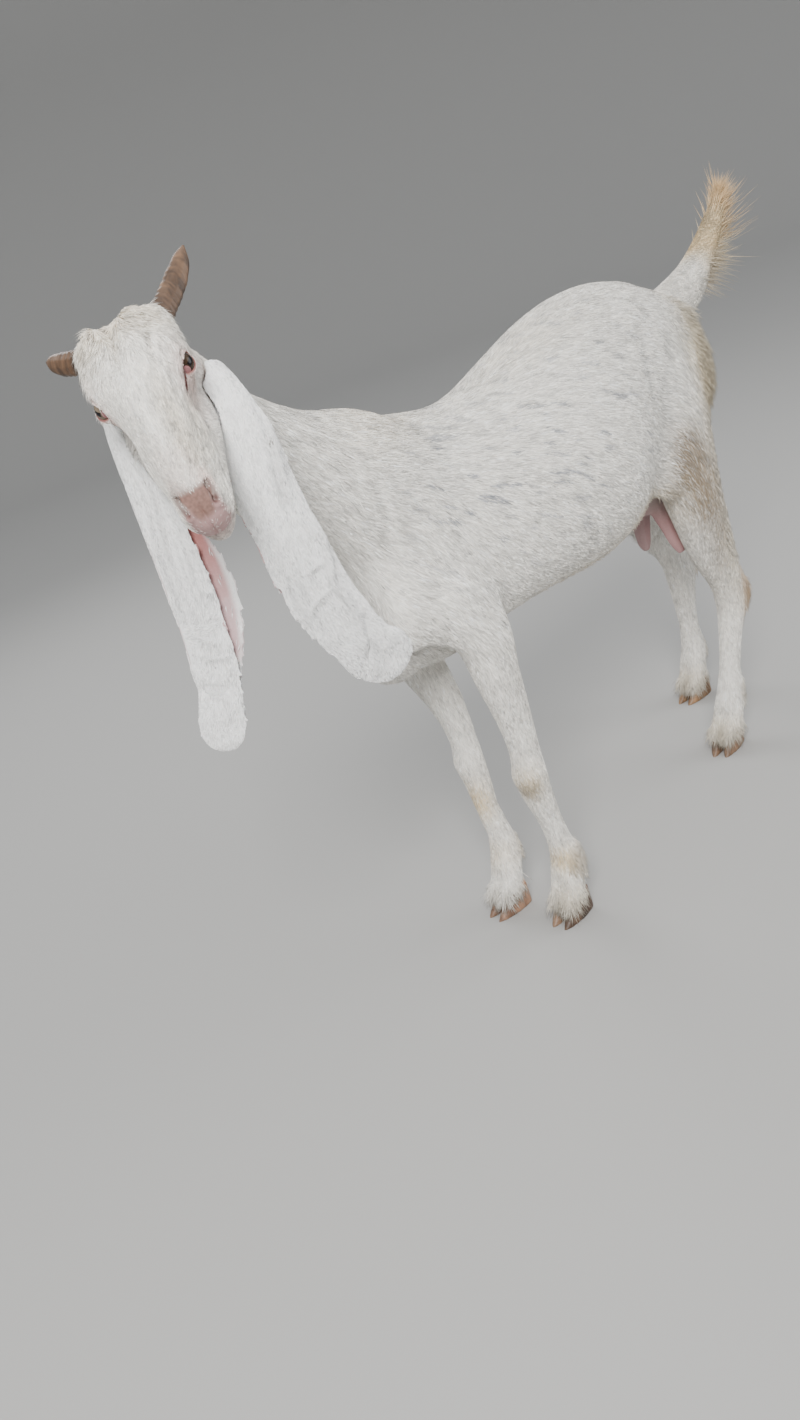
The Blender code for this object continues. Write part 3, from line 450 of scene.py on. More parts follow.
def bare_skin(points):
    """1 where the skin is bare: nose, lips, rims of the eyes."""
    q = to_head(points)
    on = smoothstep(up_neck(points), 0.0, 0.05)
    pad, lip, slit_shade, tear = muzzle_masks(points)
    bare = np.maximum(np.maximum(pad, 0.75 * lip), np.maximum(slit_shade, 0.7 * tear))
    for side in (-1, 1):
        near = np.linalg.norm(q - eye_on_head(side), axis=1)
        bare = np.maximum(bare, 1.0 * (near < EYE_RADIUS + 0.0015) * on)
    return np.clip(bare, 0.0, 1.0)


def eye_on_head(side):
    return np.array((EYE_PLACE[0], EYE_PLACE[1], side * EYE_PLACE[2]))


def eye_frame(side):
    """Rows: along the slit, across it, and the way the eye looks, all on the head."""
    look = unit(np.array((EYE_LOOK[0], EYE_LOOK[1], side * EYE_LOOK[2])))
    slit = np.array((1.0, EYE_SLANT, 0.0))
    slit = unit(slit - look * (slit @ look))
    return np.array((slit, np.cross(look, slit), look))


def by_eye(q, side, extra=0.0):
    """Places of the head on one eye's own axes, and where they lie: under 1 is in its slit."""
    local = (q - eye_on_head(side)) @ eye_frame(side).T
    return local, (local[:, 0] / (LID_LONG + extra)) ** 2 + (local[:, 1] / (LID_HIGH + extra)) ** 2


def eye_seat(side):
    """The eyeball's centre in the scene and its axes as rows."""
    return on_head(*eye_on_head(side)) + SHIFT, eye_frame(side) @ HEAD


# The lie of the coat

def hair_lie(points):
    """The way the hair points at each place, before it is laid on the surface."""
    p = points - SHIFT
    q = to_head(points)
    on = smoothstep(up_neck(points), -0.015, 0.030)
    neck = smoothstep(-p[:, 0], 0.26, 0.36) * (1 - on)
    flow = np.repeat(np.array((0.90, 0.0, -0.34))[None], len(p), 0)
    low = smoothstep(-p[:, 2], -0.74, -0.56)
    flow += low[:, None] * np.array((-0.05, 0.0, -0.34))
    rump = smoothstep(p[:, 0], 0.26, 0.40) * smoothstep(-p[:, 2], -0.80, -0.66)
    flow = mixed(flow, (0.42, 0.0, -0.90), rump)
    thigh = smoothstep(p[:, 0], 0.22, 0.32) * smoothstep(-p[:, 2], -0.64, -0.52)
    flow = mixed(flow, (0.30, 0.0, -0.95), thigh)
    shoulder = bell(p[:, 0] + 0.25, 0.07) * smoothstep(-p[:, 2], -0.76, -0.62)
    flow = mixed(flow, (0.52, 0.0, -0.85), shoulder)
    flow = mixed(flow, (0.66, 0.12, -0.74), neck)
    leg = smoothstep(-p[:, 2], -0.50, -0.42)
    flow = mixed(flow, (0.14, 0.0, -0.99), leg)
    flow[:, 1] += (p[:, 1] - 0.03) * 1.2 * (1 - leg) * smoothstep(p[:, 2], 0.60, 0.80)
    face = np.repeat(np.array((1.0, 0.0, 0.0))[None], len(p), 0)
    face[:, 2] += np.clip(q[:, 2], -0.03, 0.03) * 14.0 * bell(q[:, 0] - 0.085, 0.030)
    cheek = smoothstep(-q[:, 1], 0.040, 0.080) * (1 - smoothstep(q[:, 0], 0.17, 0.21))
    face = mixed(face, (-0.35, -0.93, 0.0), cheek)
    swirl = np.stack((0.65 + 0 * q[:, 0], -0.5 + 0 * q[:, 1], q[:, 2] * 30), 1)
    crown = 1 - smoothstep(q[:, 0], 0.040, 0.070)
    face = mixed(face, swirl, crown)
    behind = 1 - smoothstep(q[:, 0], -0.010, 0.012)
    face = mixed(face, (-0.8, -0.6, 0.0), behind)
    return unit(mixed(flow, face @ HEAD, on))


def laid_flat(directions, normals):
    along = directions - normals * (directions * normals).sum(1)[:, None]
    return unit(along)


# Tufts

TUFT_FACES = np.array(((0, 2, 1), (1, 2, 3), (0, 1, 3), (0, 3, 2)))
# Breadth of a tuft's place on the map, and rings of points along a lock
PATCH = 0.003
LOCK_STATIONS = 3
LEG_TOP = 0.47
# The upright plane between her left and right sides, and the least height of a lock's points
MIDDLE = 0.03
CLEARANCE = 0.0008


def streaks(points):
    """A soft pattern drawn out along the hair, from -1 to 1."""
    p = points - SHIFT
    q = to_head(points)
    on = (up_neck(points) > 0)[:, None]
    body = np.stack((p @ (0.9, 0, -0.43) * 22, p @ (0.43, 0, 0.9) * 105, p[:, 1] * 60), 1)
    legs = np.stack((p[:, 2] * 34, p[:, 0] * 170, p[:, 1] * 170), 1)
    face = np.stack((q[:, 0] * 42, q[:, 2] * 190, q[:, 1] * 80), 1)
    place = np.where(on, face, np.where(p[:, 2:] < LEG_TOP, legs, body))
    return (0.6 * noise_at(place) + noise_at(place * 2.4 + 7.0)) * 1.8


class Ground:
    """A surface that hair and lines are laid on."""

    def __init__(self, made, moved=(0.0, 0.0, 0.0)):
        mesh = made.data
        mesh.calc_loop_triangles()
        corners = indices_of(mesh.loop_triangles, "vertices", 3)
        self.tree = BVHTree.FromPolygons((places_of(mesh.vertices) + moved).tolist(),
                                         corners.tolist())

    def seated(self, points, height):
        """The points moved to the given height over the surface."""
        found = [self.tree.find_nearest(point) for point in points.tolist()]
        place = np.array([hit[0] for hit in found])
        way = np.array([hit[1] for hit in found])
        return place + way * height[:, None], way


def tufts(name, ground, roots, normals, lie, length, width, rise, colour, atlas, rng,
          spread=0.13, sheen=0.27, grain=0.105):
    """Short hair as thin closed blades: sunk root, broad middle, fine tip, all on the skin."""
    count = len(roots)
    turn = rng.normal(0.0, spread, count)
    side = np.cross(lie, normals)
    lie = unit(lie * np.cos(turn)[:, None] + side * np.sin(turn)[:, None])
    side = np.cross(lie, normals)
    size = rng.uniform(0.70, 1.20, count)
    length = length * size
    width = width * rng.uniform(0.70, 1.30, count)
    high = rise * rng.uniform(0.3, 1.0, count)
    root = roots - normals * 0.0006
    tip = roots + lie * length[:, None] + side * (length * rng.normal(0, 0.05, count))[:, None]
    tip, beyond = ground.seated(tip, high * rng.uniform(0.5, 1.3, count))
    middle, under = ground.seated(roots + lie * (length * 0.42)[:, None], high * 0.8 + 0.0002)
    gap = ((middle - (root * 0.58 + tip * 0.42)) * normals).sum(1)
    middle += normals * np.maximum(0.14 * width - gap, 0.0)[:, None]
    half = side * (width / 2)[:, None]
    tops = (np.cross(middle + half - root, middle - half - root), np.cross(half, tip - middle))
    good = np.min([(unit(top) * normals).sum(1) for top in tops], axis=0) > 0.3
    good &= np.minimum((beyond * normals).sum(1), (under * normals).sum(1)) > 0.45
    root, middle, tip, half, lie, side, normals, colour, atlas = (
        values[good] for values in (root, middle, tip, half, lie, side, normals, colour, atlas))
    count = len(root)
    points = np.empty((count, 4, 3))
    points[:, 0] = root
    points[:, 1] = middle - half
    points[:, 2] = middle + half
    points[:, 3] = tip
    faces = TUFT_FACES[None] + 4 * np.arange(count)[:, None, None]
    mesh = mesh_from_arrays(name, points.reshape(-1, 3), faces.reshape(-1, 3))
    pattern = streaks(root)
    lean = rng.normal(0.0, sheen, count) + 0.9 * sheen * pattern
    facing = unit(normals + side * lean[:, None] + lie * rng.normal(0.0, sheen, count)[:, None])
    corners = np.repeat(np.repeat(facing[:, None, None], 4, 1), 3, 2)
    for k in (2, 3):
        a, b, c = (points[:, corner] for corner in TUFT_FACES[k])
        corners[:, k] = unit(np.cross(b - a, c - a))[:, None]
    mesh.normals_split_custom_set(corners.reshape(-1, 3).tolist())
    # Tone that differs at random from tuft to tuft, plus painted shade in streaks between the
    # clumps
    shade = rng.normal(1.0, grain, count) + 1.5 * grain * pattern
    shade = np.clip(colour * shade[:, None], 0.0, 1.0)
    tint = np.repeat(shade[:, None], 4, 1)
    # Painted shade: each tuft is darker at its sunk root, where it meets the skin
    tint[:, 0] *= 0.86
    paint(mesh, "tint", tint.reshape(-1, 3))
    spot = np.array(((0.5, 0.0), (0.0, 0.45), (1.0, 0.45), (0.5, 1.0)))
    unwrap(mesh, (atlas[:, None] + (spot[None] - 0.5) * PATCH).reshape(-1, 2))
    return new_object(name, mesh)


def on_map(u, v):
    return np.stack((0.05 + 0.9 * u, 0.05 + 0.9 * v), 1)


def round_about(way):
    """Which way a surface looks as seen from above, from 0 to 1 for a whole turn."""
    return 0.5 + 0.5 * np.arctan2(way[:, 1], way[:, 0]) / math.pi


def eased(values, edge, room):
    """Values past an edge, drawn in so that they never pass it by more than the room."""
    over = np.maximum(values - edge, 0.0)
    return values + room * np.tanh(over / room) - over


def unwrap(mesh, places):
    """The map named OFBake: each tuft is a small patch at its root's place."""
    layer = mesh.uv_layers.new(name="OFBake")
    corner = indices_of(mesh.loops, "vertex_index", 1)[:, 0]
    layer.data.foreach_set("uv", places[corner].astype(np.float32).ravel())


def locks(name, roots, normals, lie, length, width, lift, droop, colour, tip_colour, atlas,
          rng, curl=0.10, sink=0.002):
    """Long hair as closed three-sided locks that bend over under their weight."""
    count, stations = len(roots), LOCK_STATIONS
    turn = rng.normal(0.0, 0.20, count)
    side = np.cross(lie, normals)
    lie = unit(lie * np.cos(turn)[:, None] + side * np.sin(turn)[:, None])
    side = unit(np.cross(lie, normals))
    length = length * rng.uniform(0.65, 1.2, count)
    width = width * rng.uniform(0.7, 1.3, count)
    lift = lift * rng.uniform(0.5, 1.5, count)
    bend = rng.normal(0.0, curl, count)
    points = np.empty((count, stations * 3 - 2, 3))
    tint = np.empty((count, stations * 3 - 2, 3))
    shade = rng.normal(1.0, 0.05, count)[:, None]
    for k in range(stations):
        s = k / (stations - 1)
        centre = (roots + lie * (length * s)[:, None]
                  + normals * (length * lift * (s - 0.45 * s * s))[:, None]
                  + side * (length * bend * s * s)[:, None]
                  - normals * (sink if k == 0 else 0.0))
        centre[:, 2] -= length * droop * s * s
        half = width / 2 * (1.0 - s ** 1.5) * (0.75 + 0.5 * math.sin(math.pi * min(s * 1.4, 1)))
        blend = (colour * (1 - s) + tip_colour * s) * shade
        if k < stations - 1:
            points[:, 3 * k] = centre - side * half[:, None]
            points[:, 3 * k + 1] = centre + side * half[:, None]
            points[:, 3 * k + 2] = centre + normals * (half * 0.8)[:, None]
            tint[:, 3 * k:3 * k + 3] = blend[:, None]
        else:
            points[:, -1] = centre
            tint[:, -1] = blend
    one = [(0, 2, 1)]
    for k in range(stations - 2):
        for a, b in ((0, 1), (1, 2), (2, 0)):
            here, there = 3 * k + a, 3 * k + b
            one += [(here, there, there + 3), (here, there + 3, here + 3)]
    last = 3 * (stations - 2)
    tip = 3 * stations - 3
    one += [(last, last + 1, tip), (last + 1, last + 2, tip), (last + 2, last, tip)]
    each = stations * 3 - 2
    faces = np.array(one)[None] + each * np.arange(count)[:, None, None]
    mesh = mesh_from_arrays(name, points.reshape(-1, 3), faces.reshape(-1, 3))
    paint(mesh, "tint", np.clip(tint, 0, 1).reshape(-1, 3))
    spot = np.zeros((each, 2))
    spot[:, 1] = np.minimum(np.arange(each) // 3, stations - 1) / (stations - 1)
    spot[:, 0] = 0.5 * (np.arange(each) % 3)
    spot[-1] = (0.5, 1.0)
    unwrap(mesh, (atlas[:, None] + (spot[None] - 0.5) * PATCH).reshape(-1, 2))
    return new_object(name, mesh)


def scatter(made, density, rng, inside=lambda points: 1.0):
    """Places spread evenly over a mesh, with the way that its surface looks there."""
    mesh = made.data
    mesh.calc_loop_triangles()
    corners = indices_of(mesh.loop_triangles, "vertices", 3)
    count = len(corners)
    points, ways = places_of(mesh.vertices), places_of(mesh.vertices, "normal")
    a, b, c = (points[corners[:, k]] for k in range(3))
    area = np.linalg.norm(np.cross(b - a, c - a), axis=1) / 2
    middle = (a + b + c) / 3
    wanted = area * (density(middle) if callable(density) else density) * inside(middle)
    number = np.floor(wanted + rng.random(count)).astype(int)
    pick = np.repeat(np.arange(count), number)
    u, v = rng.random(len(pick)), rng.random(len(pick))
    over = u + v > 1
    u[over], v[over] = 1 - u[over], 1 - v[over]
    w = 1 - u - v
    spot = sum(points[corners[pick, k]] * s[:, None] for k, s in enumerate((w, u, v)))
    way = sum(ways[corners[pick, k]] * s[:, None] for k, s in enumerate((w, u, v)))
    return spot, unit(way)


# Materials

def shader_of(name):
    made = bpy.data.materials.new(name)
    made.use_nodes = True
    return made, made.node_tree, made.node_tree.nodes["Principled BSDF"]


def fill(made, values):
    """Sets a node's sockets by name."""
    for name, value in values.items():
        made.inputs[name].default_value = value


def node(tree, kind, values=()):
    made = tree.nodes.new(kind)
    fill(made, dict(values))
    return made


def painted(tree, name):
    """The values that a mesh carries under this name."""
    made = node(tree, "ShaderNodeAttribute")
    made.attribute_name = name
    return made


def grain_of(tree, stretch, values):
    """Noise over the object's own space."""
    place = node(tree, "ShaderNodeTexCoord")
    turn = node(tree, "ShaderNodeMapping", {"Scale": stretch})
    grain = node(tree, "ShaderNodeTexNoise", values)
    tree.links.new(place.outputs["Object"], turn.inputs["Vector"])
    tree.links.new(turn.outputs["Vector"], grain.inputs["Vector"])
    return grain.outputs["Fac"]


def speckled(tree, colour_out, scale, low, high):
    """Multiplies a colour by a soft mottle between two strengths."""
    grain = grain_of(tree, (1, 1, 1), {"Scale": scale, "Detail": 4.0})
    ramp = node(tree, "ShaderNodeMapRange",
                {"From Min": 0.3, "From Max": 0.7, "To Min": low, "To Max": high})
    mix = node(tree, "ShaderNodeVectorMath")
    mix.operation = "SCALE"
    tree.links.new(grain, ramp.inputs["Value"])
    tree.links.new(colour_out, mix.inputs[0])
    tree.links.new(ramp.outputs["Result"], mix.inputs["Scale"])
    return mix.outputs["Vector"], grain


def bumped(tree, shader, height_out, distance, strength):
    bump = node(tree, "ShaderNodeBump", {"Strength": strength, "Distance": distance})
    tree.links.new(height_out, bump.inputs["Height"])
    tree.links.new(bump.outputs["Normal"], shader.inputs["Normal"])


HIDE_LOOK = "hide with bare nose and lids"
HAIR_LOOK = "coat hair"


def hide_material():
    """Skin under the short coat, with bare pink places that are smoother."""
    made, tree, shader = shader_of(HIDE_LOOK)
    colour, grain = speckled(tree, painted(tree, "tint").outputs["Color"], 420.0, 0.93, 1.03)
    tree.links.new(colour, shader.inputs["Base Color"])
    rough = node(tree, "ShaderNodeMapRange", {"To Min": 0.80, "To Max": 0.42})
    tree.links.new(painted(tree, "bare").outputs["Fac"], rough.inputs["Value"])
    tree.links.new(rough.outputs["Result"], shader.inputs["Roughness"])
    fill(shader, {"Specular IOR Level": 0.35, "Subsurface Weight": 0.06,
                  "Subsurface Radius": (0.006, 0.003, 0.002)})
    bumped(tree, shader, grain, 0.0006, 0.4)
    return made


def hair_material():
    """Hair: each tuft's own colour, faintly mottled."""
    made, tree, shader = shader_of(HAIR_LOOK)
    colour, _ = speckled(tree, painted(tree, "tint").outputs["Color"], 90.0, 0.93, 1.05)
    tree.links.new(colour, shader.inputs["Base Color"])
    fill(shader, {"Roughness": 0.62, "Specular IOR Level": 0.3, "Sheen Weight": 0.12,
                  "Sheen Roughness": 0.5})
    return made


def horn_material(name, dark, light, stretch):
    """Streaked horn, darker in the grooves."""
    made, tree, shader = shader_of(name)
    grain = grain_of(tree, stretch, {"Scale": 55.0, "Detail": 8.0, "Distortion": 0.6})
    ramp = node(tree, "ShaderNodeValToRGB")
    for stop, place, colour in zip(ramp.color_ramp.elements, (0.34, 0.66), (dark, light)):
        stop.position = place
        stop.color = (*colour, 1.0)
    mix = node(tree, "ShaderNodeMix")
    mix.data_type = "RGBA"
    mix.blend_type = "MULTIPLY"
    mix.inputs["Factor"].default_value = 1.0
    tree.links.new(grain, ramp.inputs["Fac"])
    tree.links.new(ramp.outputs["Color"], mix.inputs["A"])
    tree.links.new(painted(tree, "tint").outputs["Color"], mix.inputs["B"])
    tree.links.new(mix.outputs["Result"], shader.inputs["Base Color"])
    fill(shader, {"Roughness": 0.48})
    bumped(tree, shader, grain, 0.0010, 0.6)
    return made


def eye_material():
    """A wet eyeball: dark level pupil, ringed iris, pale edge."""
    made, tree, shader = shader_of("wet eye")
    tree.links.new(painted(tree, "tint").outputs["Color"], shader.inputs["Base Color"])
    fill(shader, {"Roughness": 0.16, "Specular IOR Level": 0.20, "Coat Weight": 0.12,
                  "Coat Roughness": 0.04})
    return made


def floor_material(colour):
    made, _, shader = shader_of("pale floor")
    fill(shader, {"Base Color": (*colour, 1.0), "Roughness": 0.9, "Specular IOR Level": 0.2})
    return made


# Settings

def metres(name, value, about, least=0.0):
    return FloatProperty(name=name, description=about, default=value, min=least, unit="LENGTH")


def per_area(name, value, about):
    return FloatProperty(name=name, description=about, default=value, min=0.0)


class HideSettings(bpy.types.PropertyGroup):
    fineness: metres("Fineness", 0.0040, "Side of the hide's faces", 0.001)
    depth: metres("Coat depth", 0.0018, "How far the hide lies under the coat")
    fold: metres("Fold height", 0.0016, "Height of the folds on neck and shoulder")


class CoatSettings(bpy.types.PropertyGroup):
    body_length: metres("Body hair", 0.021, "Length of a tuft on the body", 0.001)
    face_length: metres("Face hair", 0.0085, "Length of a tuft on the face", 0.001)
    leg_length: metres("Leg hair", 0.0115, "Length of a tuft on the lower legs", 0.001)
    body_width: metres("Tuft width", 0.00137, "Breadth of a tuft on the body", 0.0001)
    body_count: per_area("Body tufts", 1.30e5, "Tufts per square metre of body")
    leg_count: per_area("Leg tufts", 2.3e5, "Tufts per square metre of leg")
    face_count: per_area("Face tufts", 4.6e5, "Tufts per square metre of face")
    ear_count: per_area("Ear tufts", 3.0e5, "Tufts per square metre of ear")
    seed: IntProperty(name="Seed", description="Seed of the coat's scatter", default=11)


class StudioSettings(bpy.types.PropertyGroup):
    floor_colour: FloatVectorProperty(name="Floor", description="Colour of the floor",
                                      subtype="COLOR", size=3, default=(0.40, 0.395, 0.385),
                                      min=0.0, max=1.0)
    sky: FloatProperty(name="Sky light", description="Strength of the light from all round",
                       default=1.0, min=0.0)
    focal: FloatProperty(name="Focal length", description="Focal length of the camera",
                         default=27.127, min=1.0, subtype="DISTANCE_CAMERA")


def body_parts():
    return ["torso", "neck", "head"] + ["leg_" + leg for leg in LEGS]


def finished(made, look, nodes=()):
    """Gives a piece its material and its body, and hides the solids it stands for."""
    made.data.materials.clear()
    made.data.materials.append(look)
    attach(made, BODY)
    if nodes:
        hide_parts(*nodes)
    return made


# Hide

# Soft ridges and hollows: stations of a line, half breadth, height
FOLDS = (
    (((-0.3115, -0.0489, 0.747), (-0.3182, -0.048, 0.6929), (-0.3309, -0.0394, 0.6402)),
     0.005, -1.3),
    (((-0.3, -0.052, 0.752), (-0.305, -0.052, 0.693), (-0.318, -0.045, 0.64)), 0.009, 0.9),
    (((-0.385, -0.04, 0.8), (-0.352, -0.044, 0.72), (-0.345, -0.04, 0.66)), 0.01, 0.8),
    (((-0.365, -0.04, 0.8), (-0.335, -0.046, 0.72), (-0.33, -0.042, 0.66)), 0.008, -0.7),
    (((-0.19, -0.07, 0.74), (-0.175, -0.092, 0.64), (-0.205, -0.092, 0.56)), 0.016, -0.7),
    (((0.175, -0.12, 0.7), (0.2, -0.12, 0.6), (0.215, -0.105, 0.53)), 0.018, -0.8),
    (((0.395, -0.07, 0.76), (0.4, -0.075, 0.69), (0.372, -0.085, 0.61)), 0.012, -1.2),
    (((0.2781, -0.06, 0.7765), (0.2565, -0.0752, 0.7282), (0.2434, -0.084, 0.6974),
      (0.2271, -0.0908, 0.6611)), 0.01, -2.6),
    (((0.3215, -0.0634, 0.7543), (0.3102, -0.0681, 0.6981), (0.2963, -0.0746, 0.6423)), 0.013, 2.0),
)
# Lines of the head, in its own measures: stations, half breadth, height
HEAD_LINES = (
    (((0.012, -0.01, -0.005), (0.034, 0.0, -0.005), (0.056, 0.01, -0.0045),
      (0.078, 0.013, -0.0085)), 0.0055, -0.0045),
    (((0.012, -0.01, -0.005), (0.034, 0.0, -0.005), (0.056, 0.01, -0.0045),
      (0.084, 0.014, -0.009)), 0.0022, -0.005),
    (((0.012, -0.01, 0.011), (0.04, 0.004, 0.011), (0.07, 0.012, 0.009)), 0.008, 0.0028),
    (((0.02, -0.01, -0.021), (0.044, 0.0, -0.021), (0.07, 0.01, -0.019)), 0.007, 0.0022),
    (((0.12, 0.014, -0.001), (0.16, 0.012, -0.001), (0.2, 0.002, -0.001)), 0.006, 0.0024),
    (((0.116, 0.006, 0.021), (0.15, 0.004, 0.019), (0.192, -0.002, 0.017)), 0.0085, -0.004),
    (((0.122, 0.006, -0.022), (0.15, 0.004, -0.02), (0.19, -0.002, -0.018)), 0.0085, -0.0022),
    (((0.05, -0.002, 0.031), (0.064, 0.004, 0.029), (0.078, 0.009, 0.028),
      (0.09, 0.011, 0.027)), 0.0026, -0.0034),
    (((0.048, 0.006, 0.02), (0.064, 0.011, 0.02), (0.082, 0.015, 0.018)), 0.0055, 0.002),
    (((0.14, -0.03, 0.033), (0.152, -0.026, 0.029), (0.16, -0.022, 0.027)), 0.0014, -0.0012),
    (((0.118, -0.06, 0.042), (0.134, -0.06, 0.04), (0.15, -0.056, 0.037)), 0.0018, -0.0012),
    (((0.198, -0.016, 0.023), (0.208, -0.022, 0.0235), (0.22, -0.034, 0.0225),
      (0.228, -0.044, 0.02)), 0.0016, -0.0014),
    (((0.17, -0.004, 0.021), (0.19, -0.01, 0.0225), (0.206, -0.016, 0.0225)), 0.003, -0.0013),
)


def push_lines(points, lines, ground, scale=1.0):
    """How far each place moves out for ridges and creases that fade at their ends.

    Each line is first drawn on the surface, so that it runs over it without a break.
    """
    push = np.zeros(len(points))
    for path, radius, height in lines:
        fine = on_line(np.linspace(0, 1, 4 * len(path)), np.array(path))
        path, _ = ground.seated(fine, np.zeros(len(fine)))
        away, share = path_distance(points, path)
        fade = np.sin(np.pi * np.clip(share, 0.04, 0.96)) ** 0.5
        push += height * scale * bell(away, radius) * fade
    return push


def shape_face(clay):
    """Beds of the lids, nostrils, mouth line and the fold lines of the face."""
    q = to_head(clay.points)
    near_head = up_neck(clay.points) > 0.02
    for side in (-1, 1):
        local, almond = by_eye(q, side)
        reach = np.linalg.norm(local, axis=1)
        ahead = (local[:, 2] > 0) & (reach < EYE_REACH)
        sunk = ahead & (almond < 1.6)
        bed = ahead & ~sunk & (np.hypot(local[:, 0], local[:, 1]) < EYE_RADIUS)
        wanted = np.where(sunk, EYE_RADIUS - 0.0026, np.where(bed, EYE_RADIUS + 0.0004, reach))
        scale = (wanted / np.maximum(reach, 1e-9))[:, None]
        moved = eye_on_head(side) + (local * scale) @ eye_frame(side)
        use = near_head & (sunk | bed)
        clay.points[use] = (moved[use] @ HEAD) + POLL + SHIFT
    clay.write()
    q = to_head(clay.points)
    ground = Ground(clay.made)
    lines = [(POLL + np.array(path) @ HEAD + SHIFT, radius, height)
             for path, radius, height in HEAD_LINES]
    push = push_lines(clay.points, lines, ground)
    for side in (-1, 1):
        away, share = from_nostril(q, side)
        push -= 0.0065 * bell(away, 0.0028 - 0.0007 * share)
        push += 0.0012 * bell(away - 0.0068, 0.0020)
    mouth = np.abs(q[:, 1] - MOUTH_OUT)
    front = smoothstep(q[:, 0], 0.190, 0.206)
    push -= 0.0034 * bell(mouth, 0.0012) * front
    push += 0.0012 * bell(mouth - 0.0050, 0.0024) * front
    split = np.abs(q[:, 2] + 0.0005)
    push -= 0.0020 * bell(split, 0.0011) * smoothstep(q[:, 0], 0.228, 0.238) * (q[:, 1] > -0.054)
    clay.push(push * near_head)


# Reach of the finer faces round each eye, and where those of the muzzle start
EYE_ZONE = 0.024
MUZZLE_ZONE = 0.200
# Strokes of smoothing on face, muzzle and creases, and feet
FACE_ROUNDS, MUZZLE_ROUNDS, FOOT_ROUNDS = 16, 60, 14
# Places where the hide bridges a crease between muscles: centre, reach
SOFTENED = (
    ((0.215, -0.105, 0.6), (0.04, 0.05, 0.1)),
    ((0.215, 0.165, 0.6), (0.04, 0.05, 0.1)),
    ((-0.3, -0.05, 0.65), (0.045, 0.04, 0.07)),
    ((-0.21, -0.08, 0.61), (0.045, 0.04, 0.06)),
    ((0.25, -0.09, 0.52), (0.03, 0.04, 0.03)),
)


def make_hide(settings):
    hide = one_skin("hide", body_parts() + ["eye_left", "eye_right"], settings.fineness, 6, 0.0005)
    refined(hide, up_neck(places_of(hide.data.polygons, "center")) > 0.03)
    middles = places_of(hide.data.polygons, "center")
    q = to_head(middles)
    eye_near = np.min([np.linalg.norm(q - eye_on_head(s), axis=1) for s in (-1, 1)], axis=0)
    refined(hide, ((eye_near < EYE_ZONE) | (q[:, 0] > MUZZLE_ZONE)) & (up_neck(middles) > 0.03))
    hide.data.shade_smooth()
    clay = Clay(hide)
    on = smoothstep(up_neck(clay.points), 0.0, 0.03)
    q = to_head(clay.points)
    muzzle = smoothstep(q[:, 0], 0.200, 0.212)
    clay.relax(on * (1 - muzzle), FACE_ROUNDS)
    clay.relax(on * muzzle, MUZZLE_ROUNDS)
    creases = np.max([blotch(clay.points, *place) for place in SOFTENED], axis=0)
    clay.relax(np.clip(1.6 * creases, 0, 1) * (1 - on), MUZZLE_ROUNDS)
    high = clay.points[:, 2]
    clay.relax((1 - smoothstep(high, 0.105, 0.120)) * smoothstep(high, 0.040, 0.055),
               FOOT_ROUNDS)
    q = to_head(clay.points)
    nose = smoothstep(q[:, 0], 0.190, 0.225) * on
    foot = smoothstep(-clay.points[:, 2], -0.12, -0.06)
    depth = settings.depth * (1 - 0.45 * on) * (1 - 0.9 * nose) * (1 - 0.4 * foot) + 0.0005
    clay.push(-depth)
    ground = Ground(hide, -SHIFT)
    clay.push(push_lines(clay.points - SHIFT, FOLDS, ground, settings.fold) * (1 - on))
    shape_face(clay)
    colour = coat_colour(clay.points)
    pad, lip, slit_shade, tear = muzzle_masks(clay.points)
    pad_tint = PAD * (1 + 0.28 * noise_at(clay.points * 420)[:, None])
    # Lip, pad and tear line, then painted shade in the nostril slits and along the mouth line
    for share, tint in ((lip, LIP), (pad, pad_tint), (tear, TEAR_RED_AND_SLIT_SHADE),
                        (np.clip(slit_shade * 1.2, 0, 1), TEAR_RED_AND_SLIT_SHADE)):
        colour = mixed(colour, tint, share)
    paint(hide.data, "tint", colour)
    weigh(hide.data, "bare", bare_skin(clay.points))
    return finished(hide, hide_material(), body_parts())


class DOE_OT_hide(bpy.types.Operator):
    """Makes the hide: one skin over head, neck, trunk and legs"""
    bl_idname = "doe.hide"
    bl_label = "Make Hide"

    def execute(self, context):
        make_hide(context.scene.doe_hide)
        return {"FINISHED"}


# Ears

def middle_line(name):
    """The middle line of a hanging part from its root to its tip, read from its solid."""
    points = places_of(NODES[name].data.vertices)
    high = points[:, 2]
    levels = np.linspace(high.max(), high.min(), 16)
    line = []
    for top, foot in zip(levels, levels[1:]):
        band = (high <= top) & (high >= foot - 0.004)
        line.append((points[band].max(0) + points[band].min(0)) / 2)
    return np.array(line)


def on_line(share, line):
    """Places along a line at the given shares of its stations."""
    steps = np.linspace(0, 1, len(line))
    return np.array([np.interp(share, steps, values) for values in line.T]).T


